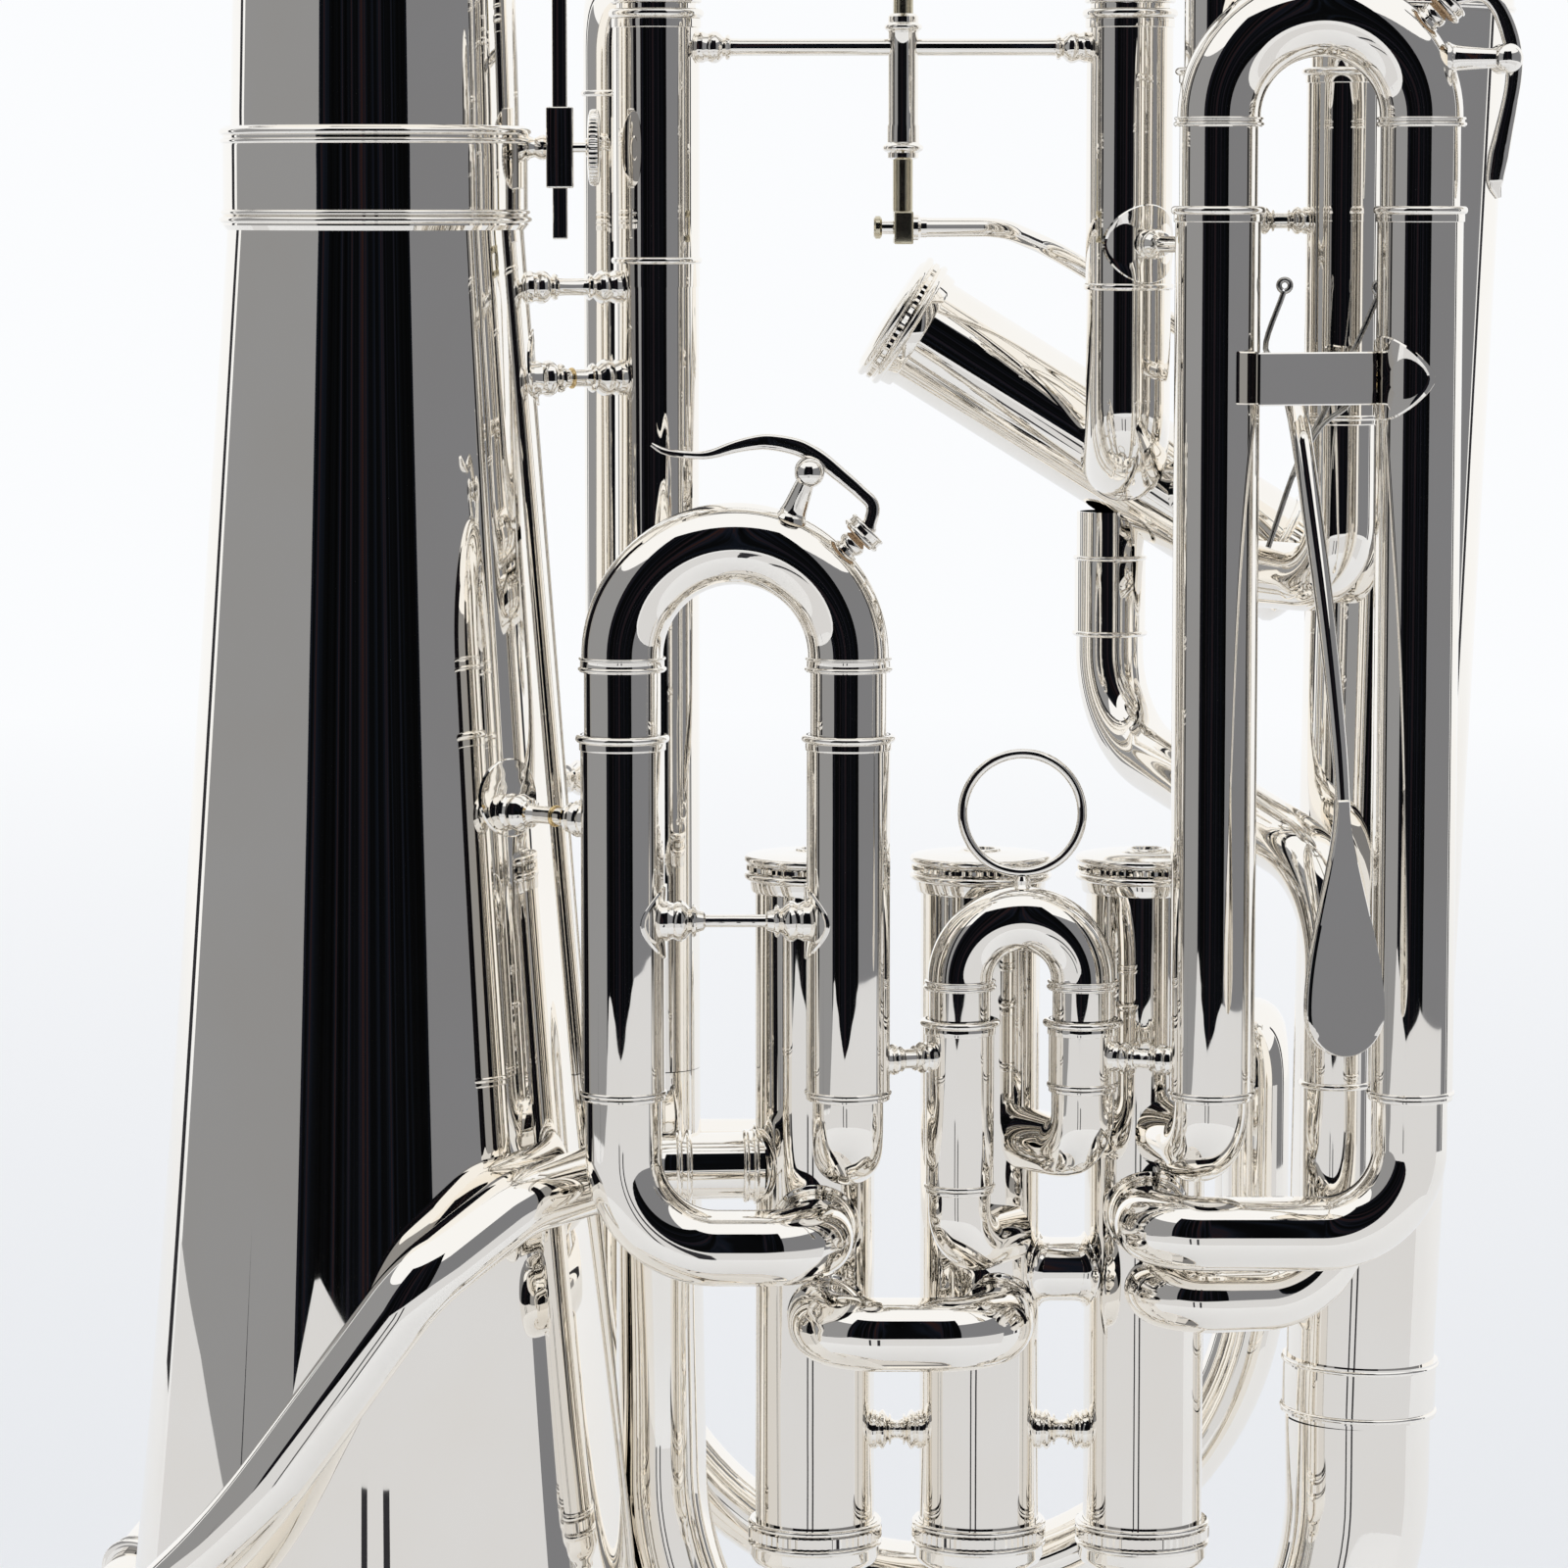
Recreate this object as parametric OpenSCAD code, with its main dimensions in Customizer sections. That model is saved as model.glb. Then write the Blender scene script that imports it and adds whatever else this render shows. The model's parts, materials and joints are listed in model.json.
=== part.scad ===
// Compensating euphonium, four valves, standing on its bell.
// Origin: centre of the bell rim on the floor. +Z up, +X towards the outer branch, valves on the -Y side.

/* [Bell] */
// Diameter of the bell rim
bell_d = 300; // [290:1:304]
// Radius of the bell tail where it meets the bottom bow
tail_r = 30; // [29:0.5:30.5]
// Height of the flare's exponential part
flare_l = 48; // [44:1:50]
// Thickness of the bell sheet
bell_wall = 0.7; // [0.6:0.1:1]

/* [Large tubes] */
// Centre-line radius of the bottom bow
bow_r = 108.5; // [108:0.5:109]
// Height where the bottom bow starts to turn
bow_z = 530; // [526:1:532]
// Radius of the outer branch at its upper end
branch_top_r = 20; // [19.5:0.1:20.2]
// Radius of the outer branch at its lower end
branch_low_r = 15.5; // [15:0.1:16]

/* [Valves] */
// Outer radius of a valve casing
casing_r = 12.5; // [12.4:0.05:12.6]
// Travel of a piston
stroke = 17; // [14:0.5:17]
// Radius of a finger button
button_r = 9.5; // [8:0.5:10]

/* [Tubes] */
// Wall of the cylindrical tubing
wall = 0.7; // [0.6:0.05:0.9]
// Radial clearance between a slide leg and its sleeve
slide_fit = 0.05; // [0.03:0.01:0.09]

/* [Trigger] */
// Width of the thumb paddle
paddle_w = 16; // [14:0.5:16.5]

/* [Hidden] */
$fn = 48;

silver = [0.93, 0.91, 0.87];
brass = [0.8, 0.66, 0.36];
cork = [0.72, 0.55, 0.38];

// ---- places -------------------------------------------------------------------------------
bell_top = 480;
branch_y = 8;
branch_top = [2 * bow_r, branch_y, bow_z - 3.1];
branch_low = [208, branch_y, 215];
inner_x = 58.2;
main_y = 12;
main_x = [inner_x, 157.6];
main_top = 514;
main_low = 456;
main_r = 9.1;
slide_y = -48;
casing_x = [91.5, 126, 160.5];
casing_y = -14;
cap_face_z = 340;
casing_len = 147;
casing4_len = 102;
valve4_at = [107.3, 42, 450.3];
valve4_dir = [0.848, 0, -0.53];
loop_y = 47;
loop_x = [48.9, 188.9];
loop_z = 240.3;
loop_tube_r = 7.3;
pivot = [186, -42, 438];
ball = [110, 12, 468.4];
bow1_at = [75.2, slide_y, 382.7];
bow3_at = [192, slide_y, 490.7];
key1_pivot = [90.1, slide_y, 419.9];
key3_pivot = [228.7, slide_y, 502.2];

// ---- helpers ------------------------------------------------------------------------------
function unit(v) = v / norm(v);
function side_of(z) = abs(z[2]) < 0.9 ? unit(cross([0, 0, 1], z)) : unit(cross([0, 1, 0], z));

module at_frame(p, x, y, z) {
  multmatrix([[x[0], y[0], z[0], p[0]], [x[1], y[1], z[1], p[1]], [x[2], y[2], z[2], p[2]], [0, 0, 0, 1]])
    children();
}

// Children drawn along +Z are moved to p and turned to point towards q
module along(p, q) {
  z = unit(q - p);
  x = side_of(z);
  at_frame(p, x, cross(z, x), z) children();
}

module rod(p, q, r, r2 = undef) {
  along(p, q) cylinder(h = norm(q - p), r1 = r, r2 = r2 == undef ? r : r2);
}

module ring2d(ro, ri) {
  difference() {
    circle(ro);
    if (ri > 0) circle(ri);
  }
}

module straight(p, q, ro, ri) {
  along(p, q) difference() {
    cylinder(h = norm(q - p), r = ro);
    if (ri > 0) translate([0, 0, -1]) cylinder(h = norm(q - p) + 2, r = ri);
  }
}

function turn_at(p, i) = acos(min(1, max(-1, unit(p[i] - p[i - 1]) * unit(p[i + 1] - p[i]))));
function cut_at(p, b, i) = (i == 0 || i == len(p) - 1) ? 0 : b[i] * tan(turn_at(p, i) / 2);

// A round tube along a polyline p, with bend radius b[i] at each inner corner. Each straight is a shade
// thicker than the bends and runs a little way into them, so that the pieces join in one solid.
lap = 0.3;
skin = 0.04;
module pipe(p, b, ro, ri = 0) {
  for (i = [0 : len(p) - 2]) {
    u = unit(p[i + 1] - p[i]);
    a = p[i] + u * (cut_at(p, b, i) - (i == 0 ? 0 : lap));
    c = p[i + 1] - u * (cut_at(p, b, i + 1) - (i == len(p) - 2 ? 0 : lap));
    straight(a, c, ro + skin, ri > 0 ? ri - skin : 0);
  }
  if (len(p) > 2) for (i = [1 : len(p) - 2]) {
    u = unit(p[i] - p[i - 1]);
    v = unit(p[i + 1] - p[i]);
    n = unit(v - (u * v) * u);
    at_frame(p[i] - u * cut_at(p, b, i) + n * b[i], -n, u, cross(-n, u))
      rotate_extrude(angle = turn_at(p, i)) translate([b[i], 0]) ring2d(ro, ri);
  }
}

// A band or collar of height h around a tube of radius ri, centred on p
module band(p, dir, ro, ri, h) {
  straight(p - unit(dir) * h / 2, p + unit(dir) * h / 2, ro, ri);
}

// Half a ring of tube in the XZ plane, opening downwards, with straight legs of length leg
module u_bow(at, bend, ro, ri, leg) {
  translate(at) {
    rotate([90, 0, 0]) rotate_extrude(angle = 180) translate([bend, 0]) ring2d(ro, ri);
    for (s = [-1, 1]) translate([s * bend, 0, -leg]) straight([0, 0, 0], [0, 0, leg], ro, ri);
  }
}

// Hollow tube swept through centres c with tangents t and outer radii r; its sections have n sides
module sweep(c, t, r, w, n = 40) {
  m = len(c);
  pts = [for (k = [0, 1]) for (i = [0 : m - 1]) let (x = unit(cross([0, 1, 0], t[i])), y = cross(unit(t[i]), x))
    for (j = [0 : n - 1]) c[i] + (r[i] - k * w) * (cos(360 * j / n) * x + sin(360 * j / n) * y)];
  function id(k, i, j) = (k * m + i) * n + (j % n);
  faces = concat(
    [for (i = [0 : m - 2]) for (j = [0 : n - 1]) each
      [[id(0, i, j), id(0, i + 1, j), id(0, i, j + 1)], [id(0, i, j + 1), id(0, i + 1, j), id(0, i + 1, j + 1)]]],
    [for (i = [0 : m - 2]) for (j = [0 : n - 1]) each
      [[id(1, i, j), id(1, i, j + 1), id(1, i + 1, j)], [id(1, i, j + 1), id(1, i + 1, j + 1), id(1, i + 1, j)]]],
    [for (j = [0 : n - 1]) each
      [[id(0, 0, j), id(0, 0, j + 1), id(1, 0, j)], [id(0, 0, j + 1), id(1, 0, j + 1), id(1, 0, j)]]],
    [for (j = [0 : n - 1]) each
      [[id(0, m - 1, j), id(1, m - 1, j), id(0, m - 1, j + 1)],
       [id(0, m - 1, j + 1), id(1, m - 1, j), id(1, m - 1, j + 1)]]]);
  polyhedron(pts, faces);
}

// Coil spring along +Z: mean radius r, height h, turns n, wire radius w
module coil(r, h, n, w) {
  sides = 6;
  steps = 14 * n;
  pts = [for (i = [0 : steps]) let (a = 360 * i * n / steps, z = w + (h - 2 * w) * i / steps)
    for (j = [0 : sides - 1]) let (q = 360 * j / sides)
      [(r + w * cos(q)) * cos(a), (r + w * cos(q)) * sin(a), z + w * sin(q)]];
  faces = concat(
    [for (i = [0 : steps - 1]) for (j = [0 : sides - 1]) let (k = (j + 1) % sides) each
      [[i * sides + j, i * sides + k, (i + 1) * sides + j],
       [i * sides + k, (i + 1) * sides + k, (i + 1) * sides + j]]],
    [[for (j = [sides - 1 : -1 : 0]) j]],
    [[for (j = [0 : sides - 1]) steps * sides + j]]);
  polyhedron(pts, faces);
}

// ---- bell and large tubes -------------------------------------------------------------------
function bell_r(z) = tail_r + 0.0725 * (bell_top - z)
  + (bell_d / 2 - tail_r - 0.0725 * bell_top) * exp(-z / flare_l);
bell_steps = concat([for (z = [0 : 4 : 60]) z], [for (z = [70 : 10 : 160]) z], [for (z = [180 : 30 : 480]) z]);

module bell_shape(grow) {
  rotate_extrude($fn = 96) polygon(concat([[0, 0]], [for (z = bell_steps) [bell_r(z) + grow, z]], [[0, bell_top]]));
}

module bell() color(silver) {
  rim = 2.4;
  rotate_extrude($fn = 96) {
    polygon(concat([for (z = bell_steps) [bell_r(z), z]],
      [for (i = [len(bell_steps) - 1 : -1 : 0]) [bell_r(bell_steps[i]) - bell_wall, bell_steps[i]]]));
    translate([bell_d / 2 - 2 * rim, 0]) square([rim * 1.6, rim]);
    translate([bell_d / 2 - rim, rim]) circle(rim, $fn = 32);
  }
}

function ease(u) = u * u * (3 - 2 * u);
bow_lean = 1.64;
bow_n = 22;
bow_c = concat([[0, 0, bell_top], [0, 0, bell_top + 12]],
  [for (i = [0 : bow_n]) let (u = i / bow_n, a = (180 + bow_lean) * u)
    [bow_r * (1 - cos(a)), branch_y * ease(u), bow_z + bow_r * sin(a)]]);
bow_t = concat([[0, 0, 1], [0, 0, 1]],
  [for (i = [0 : bow_n]) let (a = (180 + bow_lean) * i / bow_n) [sin(a), 0, cos(a)]]);
bow_rad = concat([tail_r, tail_r], [for (i = [0 : bow_n]) 29 + (branch_top_r - 29) * i / bow_n]);
bow_end = bow_c[len(bow_c) - 1];

module bottom_bow() color(silver) sweep(bow_c, bow_t, bow_rad, wall + 0.1, 32);

module outer_branch() color(silver) difference() {
  rod(branch_low, bow_end, branch_low_r, branch_top_r);
  rod(branch_low - unit(bow_end - branch_low), bow_end + unit(bow_end - branch_low),
    branch_low_r - wall, branch_top_r - wall);
}

top_r = (branch_low[0] - inner_x) / 2;
top_cx = (branch_low[0] + inner_x) / 2;
top_back = 26;
top_n = 18;
top_down = 5;
inner_low = 290;
arc_z = 200;
top_c = concat(
  [for (i = [0 : top_down - 1]) let (u = i / top_down)
    [inner_x, main_y + (top_back - main_y) * ease(u), inner_low + (arc_z - inner_low) * u]],
  [for (i = [0 : top_n]) let (u = i / top_n, a = 180 + 180 * u)
    [top_cx + top_r * cos(a), top_back + (branch_y - top_back) * ease(u), arc_z + top_r * sin(a)]],
  [branch_low]);
top_t = concat(
  [for (i = [0 : top_down - 1]) [0, (i == 0 ? 0 : 0.16), -1]],
  [for (i = [0 : top_n]) let (a = 180 + 180 * i / top_n) [-sin(a), i == 0 ? 0.08 : 0, cos(a)]],
  [unit(bow_end - branch_low)]);
top_m = len(top_c) - 1;
top_rad = [for (i = [0 : top_m]) 8.9 + (branch_low_r - 8.9) * pow(i / top_m, 1.2)];

module top_bow() color(silver) sweep(top_c, top_t, top_rad, wall, 28);

module inner_branch() color(silver)
  straight([inner_x, main_y, inner_low], [inner_x, main_y, main_low], 8.9, 8.2);

module ferrules() color(silver) {
  difference() {
    union() {
      translate([0, 0, 469]) cylinder(h = 20, r = tail_r + 1.9, $fn = 96);
      translate([0, 0, 468]) cylinder(h = 4, r = tail_r + 2.5, $fn = 96);
      translate([0, 0, 486]) cylinder(h = 3.5, r = tail_r + 2.3, $fn = 96);
    }
    bell_shape(0);
    translate([0, 0, bell_top - 1]) cylinder(h = 30, r = tail_r, $fn = 96);
  }
  u = unit(bow_end - branch_low);
  difference() {
    along(bow_end - 14 * u, bow_end) cylinder(h = 13.5, r = branch_top_r + 1.2);
    rod(branch_low, bow_end, branch_low_r, branch_top_r);
  }
  difference() {
    along(branch_low + 1 * u, bow_end) cylinder(h = 12, r = branch_low_r + 1.3);
    rod(branch_low, bow_end, branch_low_r, branch_top_r);
  }
}

// ---- leadpipe -------------------------------------------------------------------------------
lead_p = [[casing_x[0], -16, 273.4], [54, -18.5, 273.4], [31, -46, 270.8], [11, -61, 256.8], [-26, -59, 206],
  [-58, -34, 172], [-71, 2, 160], [-70, 38, 158], [-58, 70, 168]];
lead_b = [0, 18, 18, 20, 60, 36, 34, 34, 0];
lead_r = 7;
lead_end = lead_p[len(lead_p) - 1];
lead_dir = unit(lead_end - lead_p[len(lead_p) - 2]);
receiver_bore = 6.5;

module leadpipe() color(silver) difference() {
  union() {
    pipe(lead_p, lead_b, lead_r, lead_r - wall);
    lead_in = unit(lead_p[0] - lead_p[1]);
    for (d = [10, 24]) band(lead_p[1] + d * lead_in, lead_in, lead_r + 0.9, lead_r - wall / 2, 3.2);
  }
  casing_solid(0);
}

module mouthpiece_receiver() color(silver) {
  a = lead_end - 8 * lead_dir;
  b = lead_end + 34 * lead_dir;
  difference() {
    union() {
      rod(a, b, 8.4, 9);
      rod(b - 4 * lead_dir, b, 10.2);
      rod(a, a + 3 * lead_dir, 9.2);
    }
    rod(a - lead_dir, lead_end, lead_r + skin);
    rod(lead_end - 0.5 * lead_dir, b + lead_dir, receiver_bore);
  }
}

// ---- valves ---------------------------------------------------------------------------------
// Local frame of valve k: origin on the outside of the bottom cap, +Z towards the finger button
module in_valve(k) {
  if (k < 3) translate([casing_x[k], casing_y, cap_face_z]) rotate([180, 0, 0]) children();
  else along(valve4_at, valve4_at + valve4_dir) children();
}
function valve_len(k) = k < 3 ? casing_len : casing4_len;
bore_r = 11.3;
piston_fit = 0.05;
cap_r = 14.8;
cap_h = 9;
cap_top = 2;
spring_len = 22;
stem_r = 3;

module casing_solid(k) in_valve(k) translate([0, 0, cap_top]) cylinder(h = valve_len(k) - cap_top, r = casing_r);

module valve_casing(k) color(silver) in_valve(k) difference() {
  translate([0, 0, cap_top]) cylinder(h = valve_len(k) - cap_top, r = casing_r);
  translate([0, 0, 1]) cylinder(h = valve_len(k) + 1, r = bore_r);
}

module bottom_valve_caps() color(silver) for (k = [0 : 3]) in_valve(k) difference() {
  union() {
    translate([0, 0, 1]) cylinder(h = cap_h - 1, r = cap_r - 0.6);
    cylinder(h = 1, r1 = 11.5, r2 = cap_r - 0.6);
    for (z = [1.2, 6]) translate([0, 0, z]) cylinder(h = 2.6, r = cap_r);
  }
  translate([0, 0, cap_top]) cylinder(h = cap_h, r = casing_r);
  translate([0, 0, -1]) cylinder(h = cap_h, r = 2);
}

module top_valve_caps() color(silver) for (k = [0 : 3]) in_valve(k) translate([0, 0, valve_len(k)]) difference() {
  union() {
    translate([0, 0, -5]) cylinder(h = 8, r = 14.2);
    translate([0, 0, 3]) cylinder(h = 5, r1 = 14.2, r2 = 8);
  }
  translate([0, 0, -6]) cylinder(h = 6, r = casing_r);
  translate([0, 0, -1]) cylinder(h = 12, r = stem_r + 0.6);
}

module piston(k) color(silver) in_valve(k) {
  low = cap_top + spring_len;
  top = valve_len(k) - 3;
  r = bore_r - piston_fit;
  difference() {
    translate([0, 0, low]) cylinder(h = top - low, r = r);
    translate([0, 0, low + 1]) cylinder(h = top - low - 2, r = r - 0.9);
    for (u = [0.25, 0.5, 0.75]) translate([-20, 0, low + u * (top - low)]) rotate([0, 90, 0])
      cylinder(h = 40, r = 6);
  }
  translate([0, 0, top]) cylinder(h = 3 + 8 + stroke + 1.5, r = stem_r);
}

module finger_button(k) color(silver) in_valve(k) translate([0, 0, valve_len(k) + 8 + stroke + 1.5]) {
  cylinder(h = 1.5, r1 = 6, r2 = button_r);
  translate([0, 0, 1.5]) cylinder(h = 3, r = button_r);
  translate([0, 0, 4.5]) cylinder(h = 1.2, r1 = button_r, r2 = button_r - 2);
}

module valve_spring(k) color(silver) in_valve(k) translate([0, 0, cap_top + 0.1])
  coil(8.2, spring_len - 0.2, 5, 0.6);

// ---- slides ---------------------------------------------------------------------------------
// Fixed sleeve pair: legs at xs, from lows[i] up to top, radius r, with flange rings and a thin lower band
module sleeve(x, y, low, top, r, flange_r, tube_r) {
  straight([x, y, low], [x, y, top], r, r - wall);
  band([x, y, top - 1.6], [0, 0, 1], flange_r, r - wall, 3.2);
  band([x, y, low], [0, 0, 1], r + 0.7, tube_r - wall / 2, 2.4);
}

// Moving bow: inner legs from low, ferrules at the height of the bow's ends, half ring above
module slide_bow(at, bend, y, low, sleeve_r, bow_r, ferrule_h) {
  leg_r = sleeve_r - wall - slide_fit;
  u_bow(at, bend, bow_r, leg_r - 0.6, 0.5);
  for (s = [-1, 1]) {
    x = at[0] + s * bend;
    straight([x, y, low], [x, y, at[2] - 0.5], leg_r, leg_r - 0.6);
    band([x, y, at[2] - ferrule_h / 2], [0, 0, 1], sleeve_r + 0.5, leg_r - 0.6, ferrule_h);
  }
}

s1_x = [52.4, 98];
s1_r = 8.5;
s1_tube = 7.8;
module first_slide_sleeves() color(silver) difference() {
  union() {
    for (x = s1_x) sleeve(x, slide_y, 294, 367, s1_r, 9.5, s1_tube - 0.6);
    pipe([[s1_x[0], slide_y, 294], [s1_x[0], slide_y, 261.8], [91.5, slide_y, 261.8], [91.5, -20, 261.8]],
      [0, 19, 11, 0], s1_tube, s1_tube - wall);
    pipe([[s1_x[1], slide_y, 294], [s1_x[1], slide_y, 280.5], [s1_x[1], -16, 280.5]], [0, 10, 0],
      s1_tube - 0.6, s1_tube - 0.6 - wall);
  }
  casing_solid(0);
}
module first_slide_bow() color(silver) slide_bow(bow1_at, 22.8, slide_y, 315, s1_r, 8.25, 3);

s2_x = [121, 146.2];
s2_y = -37.5;
s2_r = 7;
s2_tube = 6.4;
s2_at = [133.6, s2_y, 315.6];
module second_slide_sleeves() color(silver) difference() {
  union() {
    sleeve(s2_x[0], s2_y, 273, 307.6, s2_r, 8.5, s2_tube);
    sleeve(s2_x[1], s2_y, 294, 307.6, s2_r, 8.5, s2_tube);
    pipe([[s2_x[0], s2_y, 273], [s2_x[0], s2_y, 260.5], [132, -18, 260.5]], [0, 8, 0], s2_tube, s2_tube - wall);
    pipe([[s2_x[1], s2_y, 294], [s2_x[1], s2_y, 280], [133, -18, 280]], [0, 8, 0], s2_tube, s2_tube - wall);
  }
  casing_solid(1);
}
module second_slide_bow() color(silver) slide_bow(s2_at, 12.6, s2_y, 298.6, s2_r, 6.6, 2);

s3_x = [171.8, 212.2];
s3_r = 8.6;
s3_tube = 7.6;
module third_slide_sleeves() color(silver) difference() {
  union() {
    for (x = s3_x) sleeve(x, slide_y, 294, 473, s3_r, 9.4, s3_tube);
    pipe([[s3_x[0], slide_y, 294], [s3_x[0], slide_y, 281.6], [163, -18, 281.6]], [0, 10, 0],
      s3_tube, s3_tube - wall);
    pipe([[s3_x[1], slide_y, 294], [s3_x[1], slide_y, 264.8], [160.5, slide_y, 264.8], [160.5, -18, 264.8]],
      [0, 18, 11, 0], s3_tube, s3_tube - wall);
  }
  casing_solid(2);
}
module third_slide_bow() color(silver) slide_bow(bow3_at, 20.2, slide_y, 330, s3_r, 8.3, 2);

s4_x = [173.4, 199.1];
s4_y = -25;
s4_r = 7.75;
s4_tube = 7;
s4_at = [(s4_x[0] + s4_x[1]) / 2, s4_y, 524];
module fourth_slide_sleeves() color(silver) difference() {
  union() {
    for (x = s4_x) sleeve(x, s4_y, 430, 501, s4_r, 8.8, s4_tube);
    pipe([[s4_x[0], s4_y, 430], [s4_x[0], s4_y, 411], [174.5, 36, 411]], [0, 10, 0], s4_tube, s4_tube - wall);
    pipe([[s4_x[1], s4_y, 430], [s4_x[1], s4_y, 396.5], [178.5, 4, 396.5], [178.5, 40, 396.5]], [0, 12, 12, 0],
      s4_tube, s4_tube - wall);
  }
  casing_solid(3);
  in_valve(3) translate([0, 0, casing4_len - 5]) cylinder(h = 16, r = 14.2);
}
module fourth_slide_bow() color(silver) slide_bow(s4_at, 12.85, s4_y, 452, s4_r, 7.3, 3);

module main_slide_sleeves() color(silver) difference() {
  union() {
    for (x = main_x) {
      straight([x, main_y, main_low], [x, main_y, main_top], main_r, main_r - wall);
      band([x, main_y, main_top - 2], [0, 0, 1], main_r + 1, main_r - wall, 4);
    }
    band([main_x[0], main_y, 461.5], [0, 0, 1], main_r + 0.6, main_r - wall, 2);
    band([main_x[1], main_y, main_low], [0, 0, 1], main_r + 0.6, main_r - 0.2 - wall / 2, 2);
    pipe([[main_x[1], main_y, main_low], [main_x[1], main_y, 419], [main_x[1], 38, 419]], [0, 13, 0],
      main_r - 0.2, main_r - 0.2 - wall);
  }
  casing_solid(3);
}
main_bend = (main_x[1] - main_x[0]) / 2;
main_at = [(main_x[0] + main_x[1]) / 2, main_y, 519];
module main_slide_bow() color(silver) slide_bow(main_at, main_bend, main_y, 470, main_r, 8.4, 4);

// ---- tubes between the valves -----------------------------------------------------------------
module cross_bow_1_2() color(silver) difference() {
  pipe([[93.4, -18, 243.4], [93.4, -45.5, 243.4], [128.9, -45.5, 243.4], [128.9, -18, 243.4]],
    [0, 12, 12, 0], 7.6, 6.9);
  casing_solid(0);
  casing_solid(1);
}

module knuckle_2_3() color(silver) difference() {
  straight([casing_x[1], casing_y, 251], [casing_x[2], casing_y, 251], 6.7, 6);
  casing_solid(1);
  casing_solid(2);
}

v34_p = [[163, -18, 249], [163, -37, 249], [199, -29.5, 249], [199, -29.5, 336], [155.8, 42, 359], [155.8, 42, 412]];
v34_r = 7.3;
module valve_3_to_4_tube() color(silver) difference() {
  union() {
    pipe(v34_p, [0, 10, 16, 24, 24, 0], v34_r, v34_r - wall);
    band([199, -29.5, 293], [0, 0, 1], v34_r + 0.8, v34_r - wall / 2, 2.4);
    band([155.8, 42, 389], [0, 0, 1], v34_r + 0.5, v34_r - wall / 2, 17);
    band([155.8, 42, 381], [0, 0, 1], v34_r + 1, v34_r - wall / 3, 2.2);
  }
  casing_solid(2);
  casing_solid(3);
}

module compensating_loop() color(silver) difference() {
  union() {
    translate([(loop_x[0] + loop_x[1]) / 2, loop_y, loop_z]) rotate([90, 0, 0]) rotate([0, 0, 180])
      rotate_extrude(angle = 180) translate([(loop_x[1] - loop_x[0]) / 2, 0])
        ring2d(loop_tube_r, loop_tube_r - wall);
    pipe([[loop_x[0], loop_y, loop_z], [loop_x[0], loop_y, 516], [loop_x[0], loop_y + 21, 516],
      [loop_x[0], loop_y + 21, 262], [casing_x[0], loop_y + 21, 262], [casing_x[0], casing_y, 262]],
      [0, 10.5, 10.5, 14, 14, 0], loop_tube_r, loop_tube_r - wall);
    pipe([[loop_x[1], loop_y, loop_z], [loop_x[1], loop_y, 291], [loop_x[1], loop_y + 21, 291],
      [loop_x[1], loop_y + 21, 236], [casing_x[2], loop_y + 21, 236], [casing_x[2], casing_y, 236]],
      [0, 10.5, 10.5, 12, 12, 0], loop_tube_r, loop_tube_r - wall);
    for (z = [455, 497]) band([loop_x[0], loop_y, z], [0, 0, 1], loop_tube_r + 0.8, loop_tube_r - wall / 2, 2.4);
  }
  casing_solid(0);
  casing_solid(2);
}

// ---- braces -----------------------------------------------------------------------------------
// Turned post between two points, with a foot of radius a, b and height ha, hb at each end
module post(p, q, r, a, ha, b, hb) {
  u = unit(q - p);
  rod(p, q, r);
  rod(p, p + u * ha, a);
  rod(q - u * hb, q, b);
  rod(p + u * (ha - 0.01), p + u * (ha + 2), max(r + 0.8, a * 0.55), r + 0.2);
  rod(q - u * (hb + 2), q - u * (hb - 0.01), r + 0.2, max(r + 0.8, b * 0.55));
}

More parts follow.
